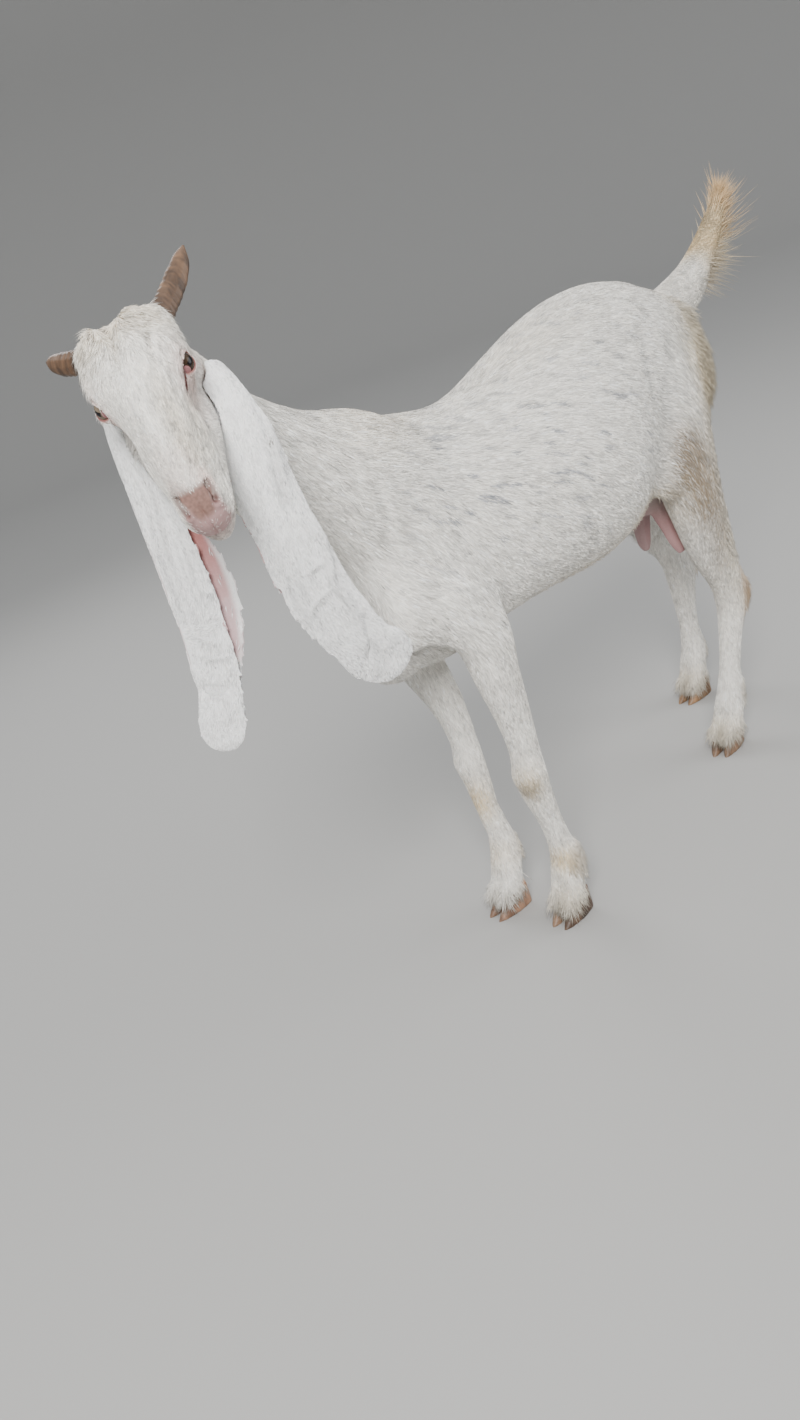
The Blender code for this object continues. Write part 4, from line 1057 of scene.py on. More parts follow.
# Veins and creases of the ears: stations of a line, half breadth, height
EAR_LINES = {
    "ear_left": (
        (((-0.4898, -0.1137, 0.8785), (-0.4969, -0.1213, 0.8365), (-0.5022, -0.1209, 0.7873),
          (-0.5006, -0.1223, 0.772)), 0.0022, -0.0016),
        (((-0.4838, -0.1137, 0.8785), (-0.4909, -0.1213, 0.8365), (-0.4962, -0.1209, 0.7873)),
         0.0034, 0.0018),
        (((-0.4955, -0.1253, 0.7664), (-0.4786, -0.1314, 0.7352), (-0.481, -0.1311, 0.7108),
          (-0.4865, -0.128, 0.6839), (-0.4779, -0.1317, 0.6631), (-0.4726, -0.1317, 0.6375),
          (-0.4733, -0.1277, 0.618)), 0.0024, 0.0026),
        (((-0.4875, -0.1273, 0.6807), (-0.5035, -0.1166, 0.6727), (-0.5141, -0.1078, 0.6633)),
         0.0024, 0.0022),
        (((-0.4888, -0.1279, 0.7108), (-0.5084, -0.1155, 0.7046)), 0.0024, 0.002),
        (((-0.4642, -0.1359, 0.6396), (-0.4653, -0.1269, 0.5951), (-0.4697, -0.1166, 0.5753)),
         0.0024, -0.002),
        (((-0.5303, -0.0946, 0.8451), (-0.5353, -0.0937, 0.8112), (-0.5318, -0.0991, 0.7873),
          (-0.5308, -0.1006, 0.7599)), 0.0028, 0.0016),
        (((-0.515, -0.11, 0.75), (-0.519, -0.105, 0.68), (-0.508, -0.108, 0.62)),
         0.004, 0.0012),
    ),
    "ear_right": (
        (((-0.59, -0.01, 0.87), (-0.588, -0.0118, 0.8284), (-0.5972, -0.0069, 0.7636),
          (-0.5997, -0.0099, 0.6928), (-0.6029, -0.0111, 0.6448)), 0.003, 0.0016),
        (((-0.6167, 0.0019, 0.6132), (-0.604, -0.008, 0.606), (-0.59, -0.019, 0.602)),
         0.0034, -0.0032),
        (((-0.608, -0.008, 0.656), (-0.594, -0.017, 0.642), (-0.58, -0.027, 0.64)),
         0.002, 0.0014),
        (((-0.603, -0.008, 0.68), (-0.595, -0.015, 0.665), (-0.585, -0.024, 0.66)),
         0.002, 0.0012),
        (((-0.58, -0.02, 0.8), (-0.585, -0.02, 0.74), (-0.585, -0.024, 0.69)),
         0.0024, 0.0014),
    ),
}


# The way each ear's broad side looks, and the freckle's centre and reach
EAR_FACES = {"ear_left": (-0.55, -0.83, 0.08), "ear_right": (-0.50, -0.86, 0.0)}
FRECKLE = ((-0.4924, -0.1208, 0.8478), (0.0010, 0.0040, 0.0013))
LILAC = np.array((0.62, 0.44, 0.45))
DEEP_PINK = np.array((0.52, 0.20, 0.18))
# The ears' white, brighter than the coat's WHITE: partly their own cooler white, partly painted
# light on the ears
LIT_EAR_WHITE = np.array((0.955, 0.955, 0.95))


def inside_of_ear(name, skin, points, normals):
    """1 on the lining: the side of each flap that looks at the middle of the fold."""
    look = unit(np.array(EAR_FACES[name]))
    levels = np.linspace(skin[:, 2].min(), skin[:, 2].max(), 24)
    middle = []
    for level in levels:
        deep = skin[np.abs(skin[:, 2] - level) < 0.012] @ look
        middle.append((deep.min() + deep.max()) / 2)
    depth = points @ look - np.interp(points[:, 2], levels, middle)
    return smoothstep(-depth * (normals @ look), -0.0008, 0.0012)


def ear_colour(points):
    """Bright white, partly painted light, with painted shade along both sides of each vein and
    crease, and one dark freckle on the left ear.
    """
    vein_shade = np.zeros(len(points))
    for lines in EAR_LINES.values():
        for path, radius, _ in lines:
            away, share = path_distance(points - SHIFT, path)
            # Painted shade: greyer along both flanks of each vein and crease line
            vein_shade = np.maximum(vein_shade, bell(away - 1.6 * radius, radius) * np.sin(np.pi * share))
    dark = np.clip(2.0 * blotch(points, *FRECKLE), 0, 1.0)
    return mixed(LIT_EAR_WHITE * (1 - 0.16 * vein_shade[:, None]), SOIL * 0.3, dark)


def lining(share):
    """How far the bare lining shows along the ear, from its root to its tip."""
    return smoothstep(share, 0.10, 0.16) * (1 - smoothstep(share, 0.70, 0.78))


def make_ear(name):
    ear = one_skin("skin_" + name, [name], 0.0025, 5)
    clay = Clay(ear)
    line = middle_line(name)
    _, share = path_distance(clay.points, line)
    inner = inside_of_ear(name, clay.points, clay.points, clay.normals)
    clay.push(-0.0005 * np.ones(clay.count))
    ground = Ground(ear, -SHIFT)
    clay.push(push_lines(clay.points - SHIFT, EAR_LINES[name], ground, 1.7) * (1 - inner))
    crinkle = noise_at(clay.points * (60, 60, 34))
    clay.push((0.0007 + 0.0013 * smoothstep(share, 0.3, 0.6)) * crinkle)
    inner = inner * lining(share)
    skin = mixed(LILAC, DEEP_PINK, inner * (1 - smoothstep(share, 0.30, 0.62)))
    paint(ear.data, "tint", mixed(ear_colour(clay.points), skin, inner))
    weigh(ear.data, "bare", inner)
    return finished(ear, bpy.data.materials[HIDE_LOOK], [name])


class DOE_OT_ears(bpy.types.Operator):
    """Makes the long folded ears"""
    bl_idname = "doe.ears"
    bl_label = "Make Ears"

    def execute(self, context):
        for name in ("ear_left", "ear_right"):
            make_ear(name)
        return {"FINISHED"}


# Eyes

IRIS_EDGE = 0.0104
PUPIL_LONG = 0.0056
PUPIL_HIGH = 0.0024
IRIS = {1: np.array((0.050, 0.030, 0.018)), -1: np.array((0.23, 0.18, 0.13))}
EYE_WHITE = np.array((0.42, 0.28, 0.25))
PUPIL = np.array((0.006, 0.005, 0.006))
LID_PINK = np.array((0.62, 0.36, 0.34))
LID_EDGE = np.array((0.24, 0.10, 0.085))
# Rings of the lids: how far each lies outside the slit, and its height over the eyeball
LID_STEPS = ((-0.0004, -0.0006), (0.0000, 0.0007), (0.0007, 0.0013), (0.0018, 0.0016),
             (0.0032, 0.0014), (0.0046, 0.0009), (0.0062, 0.0009), (0.0082, 0.0002),
             (0.0104, -0.0012))
LASHES = 46


def make_eye(side, name):
    """An eyeball with a level pupil."""
    across, around = 96, 64
    centre, axes = eye_seat(side)
    angle, turn = (grid.ravel() for grid in np.meshgrid(
        np.linspace(0.0, math.pi, around), np.linspace(0, 2 * math.pi, across, endpoint=False),
        indexing="ij"))
    local = np.stack((np.sin(angle) * np.cos(turn), np.sin(angle) * np.sin(turn),
                      np.cos(angle)), 1)
    radius = EYE_RADIUS + 0.0006 * np.exp(-(angle / 0.55) ** 4)
    points = centre + (local * radius[:, None]) @ axes
    x, y = local[:, 0] * EYE_RADIUS, local[:, 1] * EYE_RADIUS
    rim = np.hypot(x, y)
    white = np.where(local[:, 2] > 0, np.clip((rim - IRIS_EDGE) / 0.0008, 0, 1), 1.0)
    slot = np.maximum(np.abs(x) / PUPIL_LONG, np.abs(y) / PUPIL_HIGH)
    dark = 1.0 - np.clip((slot - 0.9) / 0.2, 0, 1)
    ring = 0.85 + 0.12 * np.cos(turn * 23) + 0.25 * np.cos(rim / IRIS_EDGE * 3)
    colour = mixed(IRIS[side] * ring[:, None], EYE_WHITE, white)
    colour = mixed(colour, PUPIL, dark)
    mesh = mesh_from_arrays(name, points, ring_faces(around, across)[:, ::-1])
    paint(mesh, "tint", np.clip(colour, 0, 1))
    made = new_object("eyeball_" + name.split("_")[1], mesh)
    return finished(made, eye_material(), [name])


def make_lids(side, word):
    """Both lids as one ring: a rounded rim on the eyeball, then a slope to the skin."""
    centre, axes = eye_seat(side)
    around = 96
    turn = np.linspace(0, 2 * math.pi, around, endpoint=False)
    c, s = np.cos(turn), np.sin(turn)
    points, rim = [], []
    for reach, height in LID_STEPS:
        x = np.sign(c) * np.abs(c) ** 0.85 * (LID_LONG + reach)
        y = np.sign(s) * np.abs(s) ** 1.15 * (LID_HIGH + reach)
        upper = np.clip(s, 0, 1)
        radius = EYE_RADIUS + height + 0.0008 * upper * bell(reach - 0.0030, 0.0026)
        far = np.hypot(x, y)
        flat = np.minimum(far, radius * 0.995)
        scale = flat / np.maximum(far, 1e-9)
        local = np.stack((x * scale, y * scale, np.sqrt(radius ** 2 - flat ** 2)), 1)
        points.append(centre + local @ axes)
        rim.append(np.full(around, reach))
    points, rim = np.concatenate(points), np.concatenate(rim)
    mesh = mesh_from_arrays("lids_" + word, points, ring_faces(len(LID_STEPS), around))
    pink = 1 - smoothstep(rim, 0.0004, 0.0060)
    colour = mixed(coat_colour(points), LID_PINK, pink)
    paint(mesh, "tint", mixed(colour, LID_EDGE, 1 - smoothstep(rim, 0.0002, 0.0016)))
    weigh(mesh, "bare", pink)
    made = new_object("lids_" + word, mesh)
    return finished(made, bpy.data.materials[HIDE_LOOK])


def make_caruncle(side, word):
    """The wet pink corner of the eye, where the third lid lies over the eyeball."""
    centre, axes = eye_seat(side)
    made = bmesh.new()
    bmesh.ops.create_icosphere(made, subdivisions=4, radius=1.0)
    mesh = bpy.data.meshes.new("third_lid_" + word)
    made.to_mesh(mesh)
    made.free()
    mesh.shade_smooth()
    corner = new_object("third_lid_" + word, mesh)
    clay = Clay(corner)
    local = clay.points * np.array((0.0040, 0.0052, 0.0007)) + np.array((0.0098, -0.0016, 0.0))
    local[:, 2] += np.sqrt(np.maximum(EYE_RADIUS ** 2 - local[:, 0] ** 2 - local[:, 1] ** 2, 0))
    clay.points = centre + local @ axes
    clay.write()
    tone = 0.9 + 0.1 * np.cos(clay.points[:, 2] * 3000)
    paint(mesh, "tint", np.array((0.36, 0.16, 0.165)) * tone[:, None])
    weigh(mesh, "bare", np.ones(clay.count) * 1.4)
    return finished(corner, bpy.data.materials[HIDE_LOOK])


def make_lashes(side, word, rng, look):
    """A short row of pale lashes on the upper lid."""
    centre, axes = eye_seat(side)
    turn = rng.uniform(0.10 * math.pi, 0.92 * math.pi, LASHES)
    c, s = np.cos(turn), np.sin(turn)
    x = np.sign(c) * np.abs(c) ** 0.85 * (LID_LONG + 0.0012)
    y = s ** 1.15 * (LID_HIGH + 0.0012)
    reach = np.stack((x, y, np.sqrt((EYE_RADIUS + 0.0018) ** 2 - x ** 2 - y ** 2)), 1) @ axes
    way = unit(reach)
    out = unit(np.stack((x * 0.8, np.abs(y) + 0.004, 0.006 + 0 * x), 1) @ axes)
    atlas = np.stack((0.1 + 0.8 * turn / math.pi, np.full(len(turn), 0.5)), 1)
    made = locks("lashes_" + word, centre + reach, way, laid_flat(out, way), 0.0065, 0.00040, 0.9,
                 0.15, WHITE * 0.98, WHITE, atlas, rng, sink=0.0004)
    return finished(made, look)


class DOE_OT_eyes(bpy.types.Operator):
    """Makes the eyeballs, their lids and lashes"""
    bl_idname = "doe.eyes"
    bl_label = "Make Eyes"

    def execute(self, context):
        rng = np.random.default_rng(context.scene.doe_coat.seed + 90)
        look = hair_material()
        for side, word in SIDES:
            make_eye(side, "eye_" + word)
            make_lids(side, word)
            make_caruncle(side, word)
            make_lashes(side, word, rng, look)
        return {"FINISHED"}


# Horns and claws

# Spacing and height of the rings of growth
HORN_RING, HORN_RING_HIGH = 0.0075, 0.00032
CLAW_RING, CLAW_RING_HIGH = 0.0052, 0.00028
HORN_DARK = np.array((0.42, 0.40, 0.40))
HORN_LIGHT = np.array((0.68, 0.62, 0.56))


def make_horn(name):
    horn = one_skin("ringed_" + name, [name], 0.0011, 6)
    clay = Clay(horn)
    root = on_head(0.022, -0.044, 0.032 if name.endswith("left") else -0.034) + SHIFT
    far = np.linalg.norm(clay.points - root, axis=1)
    share = far / far.max()
    wobble = 2.2 * np.sin(share * 7.0) + 0.9 * np.sin(share * 19.0)
    rings = np.sin(far * 2 * math.pi / HORN_RING + wobble)
    fade = 1 - smoothstep(share, 0.45, 0.80)
    fuller = 0.0016 * bell(share - 0.86, 0.07) - 0.0020 * bell(share - 0.42, 0.14)
    clay.push(HORN_RING_HIGH * rings * fade + fuller - 0.0002)
    light = smoothstep(share, 0.22, 0.55) * (1 - 0.6 * smoothstep(share, 0.82, 1.0))
    tint = mixed(HORN_DARK, HORN_LIGHT, light)
    tint = tint * (1 - 0.07 * fade * (1 - rings))[:, None]
    paint(horn.data, "tint", np.clip(tint, 0, 1))
    return horn


class DOE_OT_horns(bpy.types.Operator):
    """Makes the short flat horns with their rings"""
    bl_idname = "doe.horns"
    bl_label = "Make Horns"

    def execute(self, context):
        look = horn_material("streaked horn", (0.085, 0.055, 0.038), (0.30, 0.185, 0.115),
                             (1.6, 1.6, 0.30))
        for name in ("horn_left", "horn_right"):
            finished(make_horn(name), look, [name])
        return {"FINISHED"}


# Tone of each claw: how dark its horn is
CLAW_TONES = {
    "claw_front_left_left": (0.50, 0.42, 0.38), "claw_front_left_right": (0.85, 0.74, 0.66),
    "claw_front_right_left": (1.05, 0.85, 0.76), "claw_front_right_right": (0.95, 0.78, 0.70),
    "claw_rear_right_left": (1.05, 0.86, 0.62), "claw_rear_right_right": (1.05, 0.86, 0.62),
}


def make_claw(name):
    claw = one_skin("worn_" + name, [name], 0.0017, 2)
    clay = Clay(claw)
    clay.points[:, 2] = np.maximum(clay.points[:, 2], 0.0)
    high = clay.points[:, 2]
    rings = np.sin(high * 2 * math.pi / CLAW_RING)
    side = smoothstep(high, 0.003, 0.008)
    flat = clay.normals.copy()
    flat[:, 2] = 0
    clay.points += flat * (CLAW_RING_HIGH * rings * side)[:, None]
    clay.write()
    tone = 0.80 + 0.20 * smoothstep(high, 0.0, 0.030)
    tint = np.array(CLAW_TONES.get(name, (0.92, 0.80, 0.70))) * tone[:, None]
    paint(claw.data, "tint", np.clip(tint * (0.95 + 0.05 * rings[:, None]), 0, 1))
    return claw


class DOE_OT_claws(bpy.types.Operator):
    """Makes the eight claws of horn"""
    bl_idname = "doe.claws"
    bl_label = "Make Claws"

    def execute(self, context):
        look = horn_material("worn claw horn", (0.13, 0.090, 0.065), (0.44, 0.31, 0.22),
                             (1.0, 1.0, 0.35))
        for leg in LEGS:
            for side in ("left", "right"):
                name = f"claw_{leg}_{side}"
                finished(make_claw(name), look, [name])
        return {"FINISHED"}


# Udder

BAG = np.array((0.42, 0.34, 0.32))
TEAT_LEFT = np.array((0.50, 0.29, 0.29))
TEAT_RIGHT = np.array((0.38, 0.25, 0.25))


class DOE_OT_udder(bpy.types.Operator):
    """Makes the small dry udder and its teats"""
    bl_idname = "doe.udder"
    bl_label = "Make Udder"

    def execute(self, context):
        udder = one_skin("soft_udder", ["udder"], 0.0024, 6)
        clay = Clay(udder)
        wrinkle = noise_at(clay.points * (90, 90, 25))
        clay.push(0.0006 * wrinkle - 0.0003)
        low = smoothstep(-clay.points[:, 2], -0.49, -0.43)
        left = 1 - smoothstep(clay.points[:, 1] - SHIFT[1], 0.01, 0.03)
        colour = mixed(BAG, mixed(TEAT_RIGHT, TEAT_LEFT, left), low)
        # Painted shade: darker in the hollows of the wrinkles, and painted light on their ridges
        colour = colour * (1 + 0.10 * wrinkle[:, None])
        paint(udder.data, "tint", np.clip(colour, 0, 1))
        weigh(udder.data, "bare", np.full(clay.count, 0.7))
        finished(udder, bpy.data.materials[HIDE_LOOK], ["udder"])
        return {"FINISHED"}


# Tail

# Stations of the tail: centre, half breadth, half depth
TAIL = np.array((
    (0.462, 0.03, 0.738, 0.04, 0.042),
    (0.505, 0.03, 0.743, 0.041, 0.045),
    (0.552, 0.029, 0.756, 0.038, 0.043),
    (0.588, 0.026, 0.774, 0.034, 0.037),
    (0.617, 0.018, 0.801, 0.03, 0.029),
    (0.637, 0.007, 0.831, 0.026, 0.022),
    (0.648, -0.005, 0.859, 0.021, 0.016),
    (0.652, -0.012, 0.88, 0.013, 0.01),
))
TAIL_STEPS = 48
TAIL_AROUND = 28
TAIL_ROUNDS = 4
TAIL_LOCKS = 2.4e5
# Where the ends of the brush start to turn in, and how far they still reach
BRUSH_EDGE = 0.640
BRUSH_ROOM = 0.024


def tail_line():
    line = on_line(np.linspace(0, 1, TAIL_STEPS + 1), TAIL)
    for _ in range(TAIL_ROUNDS):
        line[1:-1] = (line[:-2] + 2 * line[1:-1] + line[2:]) / 4
    return line


def make_tail():
    line = tail_line()
    points = []
    for k, row in enumerate(line):
        tangent = unit(line[min(k + 1, TAIL_STEPS), :3] - line[max(k - 1, 0), :3])
        beside = unit(np.array((0.0, 1.0, 0.0)) - tangent * tangent[1])
        back = np.cross(beside, tangent)
        narrow = 0.90 - 0.22 * k / TAIL_STEPS
        for j in range(TAIL_AROUND):
            turn = 2 * math.pi * j / TAIL_AROUND
            points.append(row[:3] + SHIFT + (beside * math.cos(turn) * row[3]
                                             + back * math.sin(turn) * row[4]) * narrow)
    points = np.array(points)
    faces = ring_faces(TAIL_STEPS + 1, TAIL_AROUND)
    core = new_object("dock", mesh_from_arrays("dock", points, faces))
    # The dock is painted a little darker than the brush: painted shade in the gaps between the
    # locks
    paint(core.data, "tint", tail_colour(points) * 0.92)
    weigh(core.data, "bare", np.zeros(len(points)))
    finished(core, bpy.data.materials[HIDE_LOOK], ["tail"])
    return core, line


def tail_colour(points):
    """White at the root, cream along the brush, tan at its tip."""
    p = points - SHIFT
    under = smoothstep(p[:, 0] + 0.35 * (p[:, 2] - 0.80), 0.565, 0.625)
    high = np.clip(smoothstep(p[:, 2], 0.79, 0.86) * 0.80 + 0.70 * under, 0, 0.9)
    return mixed(mixed(WHITE, CREAM, high), TAN, 0.85 * smoothstep(p[:, 2], 0.862, 0.905))


def tail_hair(core, line, rng, look):
    spot, way = scatter(core, TAIL_LOCKS, rng)
    _, share = path_distance(spot - SHIFT, line[:, :3])
    k = np.clip((share * TAIL_STEPS).astype(int), 1, TAIL_STEPS - 1)
    tangent = unit(line[k + 1, :3] - line[k - 1, :3])
    under = smoothstep(way @ (0.85, 0.0, -0.53), -0.1, 0.8) * (1 - smoothstep(share, 0.75, 0.95))
    droop = (1.3 * under * (1 - smoothstep(share, 0.45, 0.75)))[:, None]
    lie = laid_flat(tangent + droop * np.array((0.3, 0.0, -0.9)), way)
    length = 0.026 + 0.022 * smoothstep(share, 0.10, 0.50)
    length = length * (1 + 0.50 * under)
    lift = 0.18 + 0.30 * smoothstep(share, 0.12, 0.50) * (1 - 0.5 * smoothstep(share, 0.85, 1.0))
    lift = lift + 0.50 * under
    clump = noise_at(spot * 85)
    length = length * (1 + 0.45 * clump)
    lift = np.clip(lift + 0.45 * clump * (0.5 + under), 0.05, 1.2)
    tone = (1 + 0.22 * clump)[:, None]
    base = np.clip(tail_colour(spot) * tone, 0, 1)
    tip = np.clip(tail_colour(spot + tangent * length[:, None]) * tone, 0, 1)
    made = locks("brush_of_tail", spot, way, lie, length, 0.0021, lift, 0.06, base, tip,
                 on_map(share, round_about(way)), rng, curl=0.12)
    brush = Clay(made)
    brush.points[:, 0] = eased(brush.points[:, 0], BRUSH_EDGE, BRUSH_ROOM)
    brush.write()
    return finished(made, look)


class DOE_OT_tail(bpy.types.Operator):
    """Makes the tail and its brush"""
    bl_idname = "doe.tail"
    bl_label = "Make Tail"

    def execute(self, context):
        rng = np.random.default_rng(context.scene.doe_coat.seed + 50)
        core, line = make_tail()
        tail_hair(core, line, rng, bpy.data.materials[HAIR_LOOK])
        return {"FINISHED"}


# Coat

REGIONS = ("trunk_left_front", "trunk_left_rear", "trunk_right_front", "trunk_right_rear",
           "neck", "face_left", "face_right", "leg_front_left", "leg_front_right",
           "leg_rear_left", "leg_rear_right")


# Height of a tuft's tip over the hide, more on the poll, and the least height of the coat
TUFT_RISE = 0.0013
POLL_RISE = 0.0030
COAT_FOOT = 0.028


def region(points):
    """Which coat piece each place belongs to."""
    p = points - SHIFT
    q = to_head(points)
    on = up_neck(points)
    right = (p[:, 1] > MIDDLE).astype(int)
    name = 2 * right + (p[:, 0] > 0.12)
    name[(p[:, 0] < -0.29) & (on <= 0.0)] = 4
    name = np.where(on > 0.0, 5 + (q[:, 2] < 0), name)
    low = (p[:, 2] < LEG_TOP) & (on <= 0)
    name = np.where(low & (p[:, 0] < 0.0), 7 + right, name)
    return np.where(low & (p[:, 0] > 0.2), 9 + right, name)


def atlas_of(points, name):
    """A place on the hide's own unwrap: round the part and along it."""
    p = points - SHIFT
    if name.startswith("face"):
        q = to_head(points)
        turn = np.abs(np.arctan2(q[:, 2], q[:, 1] + 0.055))
        along = (q[:, 0] + 0.08) / 0.36
    elif name == "neck":
        mid = np.array((-0.38, 0.01, 0.78))
        along = ((p - mid) @ NECK_AXIS + 0.22) / 0.40
        side = p - mid - ((p - mid) @ NECK_AXIS)[:, None] * NECK_AXIS
        turn = (np.arctan2(side[:, 1], side @ np.cross(NECK_AXIS, (0, 1, 0))) + math.pi) / 2
    elif name.startswith("leg"):
        line = middle_line(name)
        _, along = path_distance(points, line)
        near = on_line(along, line)
        turn = (np.arctan2(*(points - near)[:, (1, 0)].T) + math.pi) / 2
    else:
        along = (p[:, 0] + 0.32) / 0.86
        turn = np.abs(np.arctan2(p[:, 1] - MIDDLE, p[:, 2] - 0.64))
    return on_map(turn / math.pi, np.clip(along, 0, 1))


def parts(points):
    """Places as modelled and on the head, and how far each is head and lower leg."""
    p = points - SHIFT
    on = smoothstep(up_neck(points), -0.01, 0.03)
    return p, to_head(points), on, smoothstep(-p[:, 2], -0.50, -0.40) * (1 - on)


def clothed(points):
    """1 where the short coat grows: not on pad, lips, nostrils, eyes or claws."""
    pad, lip, slit_shade, _ = muzzle_masks(points)
    bare = np.maximum(np.maximum(pad * 1.25, lip * 0.95), slit_shade * 2)
    for side in (-1, 1):
        local, ring = by_eye(to_head(points), side, 0.003)
        bare = np.maximum(bare, (ring < 1) & (local[:, 2] > 0)
                          & (np.linalg.norm(local, axis=1) < EYE_REACH))
    return (1 - np.clip(bare, 0, 1)) * (points[:, 2] > COAT_FOOT)


def tuft_length(settings, points):
    """Long on the body, shorter on face, legs, muzzle, eyes and feet, longest on the poll."""
    p, q, on, leg = parts(points)
    length = (settings.body_length * (1 - on - leg) + settings.leg_length * leg
              + settings.face_length * on)
    length *= 1 - 0.45 * smoothstep(q[:, 0], 0.15, 0.23) * on
    length *= 1 + 1.1 * bell(q[:, 0] - 0.022, 0.024) * on
    cleft = bell(q[:, 2] + 0.006, 0.004) * (1 - smoothstep(q[:, 0], 0.075, 0.095))
    length *= 1 - 0.5 * cleft * on
    for side in (-1, 1):
        near = np.linalg.norm(q - eye_on_head(side), axis=1)
        away, _ = from_nostril(q, side)
        length *= 1 - 0.55 * bell(near - EYE_RADIUS, 0.008) * on
        length *= 1 - 0.6 * bell(away, 0.0085) * on
    return length * (1 - 0.35 * smoothstep(-p[:, 2], -0.09, -0.05))


def tuft_colour(points, rng):
    """The coat's colour, with stains that waver, pink lips, wet tear lines and dark flecks."""
    colour = coat_colour(points, rng.uniform(0.3, 1.5, len(points)))
    _, lip, _, tear = muzzle_masks(points)
    colour = mixed(colour, LIP, 0.5 * lip)
    colour = mixed(colour, TEAR_RED_AND_SLIT_SHADE * 1.3, np.clip(2.0 * tear, 0, 1))
    return mixed(colour, FLECK, flecks(points, rng))


def make_coat(settings, look):
    hide = bpy.data.objects["hide"]
    ground = Ground(hide)
    rng = np.random.default_rng(settings.seed)

    def density(points):
        _, _, on, leg = parts(points)
        return (settings.body_count * (1 - on - leg) + settings.leg_count * leg
                + settings.face_count * on)

    spot, way = scatter(hide, density, rng, clothed)
    _, q, on, leg = parts(spot)
    length = tuft_length(settings, spot)
    width = settings.body_width * (1 - 0.40 * on) * (1 - 0.25 * leg)
    rise = TUFT_RISE * (1 - 0.45 * on) * (1 - 0.2 * leg)
    rise = rise + POLL_RISE * bell(q[:, 0] - 0.020, 0.020) * on
    lie = laid_flat(hair_lie(spot), way)
    colour = tuft_colour(spot, rng)
    where = region(spot)
    for index, name in enumerate(REGIONS):
        use = where == index
        made = tufts("coat_" + name, ground, spot[use], way[use], lie[use], length[use],
                     width[use], rise[use], colour[use], atlas_of(spot[use], name), rng)
        finished(made, look)
    for side, word in SIDES:
        lid_coat(side, word, rng, look)
    long_hair(hide, rng, look)


def lid_coat(side, word, rng, look):
    """The finest hair, on the lids outside their bare rims."""
    lids = bpy.data.objects["lids_" + word]

    def outside(m):
        return by_eye(to_head(m), side, 0.0022)[1] > 1

    spot, way = scatter(lids, 7e5, rng, outside)
    made = tufts("coat_lids_" + word, Ground(lids), spot, way, laid_flat(hair_lie(spot), way),
                 0.0042, 0.00065, 0.0005, coat_colour(spot), atlas_of(spot, "face"), rng)
    finished(made, look)


# Longer hair: name, centre, reach, locks per square metre, length, width, lift, colour at the tip
LONG_HAIR = (
    ("buttock", (0.452, -0.03, 0.64), (0.022, 0.05, 0.085), 2.2e5, 0.028, 0.0013, 0.46, HAY),
    ("buttock_right", (0.452, 0.1, 0.64), (0.022, 0.05, 0.085), 1.4e5, 0.026, 0.0013, 0.42, HAY),
    ("thigh", (0.4, -0.06, 0.48), (0.04, 0.06, 0.09), 1.0e5, 0.022, 0.0015, 0.26, WHITE),
    ("thigh_right", (0.42, 0.14, 0.48), (0.04, 0.06, 0.09), 0.8e5, 0.022, 0.0015, 0.26, WHITE),
    ("hock", (0.418, -0.05, 0.262), (0.014, 0.024, 0.034), 3.0e5, 0.02, 0.0013, 0.45, TAN),
    ("hock_right", (0.568, 0.124, 0.262), (0.014, 0.024, 0.034), 3.0e5, 0.018, 0.0013, 0.4, CREAM),
    ("fetlock_a", (-0.178, -0.052, 0.098), (0.014, 0.022, 0.018), 4.0e5, 0.02, 0.0012, 0.45, CREAM),
    ("fetlock_b", (-0.18, 0.082, 0.098), (0.014, 0.022, 0.018), 4.0e5, 0.018, 0.0012, 0.4, CREAM),
    ("fetlock_c", (0.352, -0.036, 0.098), (0.014, 0.022, 0.018), 4.0e5, 0.018, 0.0012, 0.4, CREAM),
    ("fetlock_d", (0.528, 0.134, 0.098), (0.014, 0.022, 0.018), 4.0e5, 0.018, 0.0012, 0.4, CREAM),
    ("belly", (0.06, 0.02, 0.455), (0.14, 0.05, 0.016), 0.7e5, 0.02, 0.0014, 0.22, CREAM),
    ("flank_edge", (0.19, -0.085, 0.505), (0.04, 0.035, 0.022), 1.0e5, 0.02, 0.0014, 0.22, CREAM),
    ("brisket", (-0.26, 0.02, 0.52), (0.05, 0.05, 0.03), 0.6e5, 0.018, 0.0014, 0.2, WHITE),
    ("ear_root", (-0.5985, -0.04, 0.893), (0.01, 0.014, 0.012), 5.0e5, 0.014, 0.0011, 0.55,
     WHITE),
)
# Height of the claws' hairy rims, and where locks on her far side turn in
CORONET = 0.036
CORONET_LOCKS = 2.6e5
FAR_EDGE = 0.172
FAR_ROOM = 0.007


def long_hair(hide, rng, look):
    for name, centre, reach, count, length, width, lift, tip in LONG_HAIR:
        spot, way = scatter(hide, lambda m: count * (blotch(m, centre, reach) > 0.25)
                            * blotch(m, centre, reach), rng)
        lay_locks("fringe_" + name, spot, way, length, width, lift, tip, rng, look)
    spot, way = scatter(hide, lambda m: CORONET_LOCKS * bell(m[:, 2] - CORONET, 0.009), rng,
                        lambda m: (m[:, 2] < 0.062) * (m[:, 2] > 0.024))
    lay_locks("fringe_coronets", spot, way, 0.027, 0.0013, 0.42, HAY, rng, look)

    def on_poll(m):
        q = to_head(m)
        crown = bell(q[:, 0] - 0.026, 0.020) * smoothstep(q[:, 1], -0.040, -0.020)
        crown *= 1 - bell(q[:, 2] + 0.005, 0.006)
        return 1.5e5 * crown * smoothstep(up_neck(m), 0.02, 0.05)

    spot, way = scatter(hide, on_poll, rng)
    lay_locks("fringe_poll", spot, way, 0.016, 0.0011, 0.26, WHITE * 0.98, rng, look)


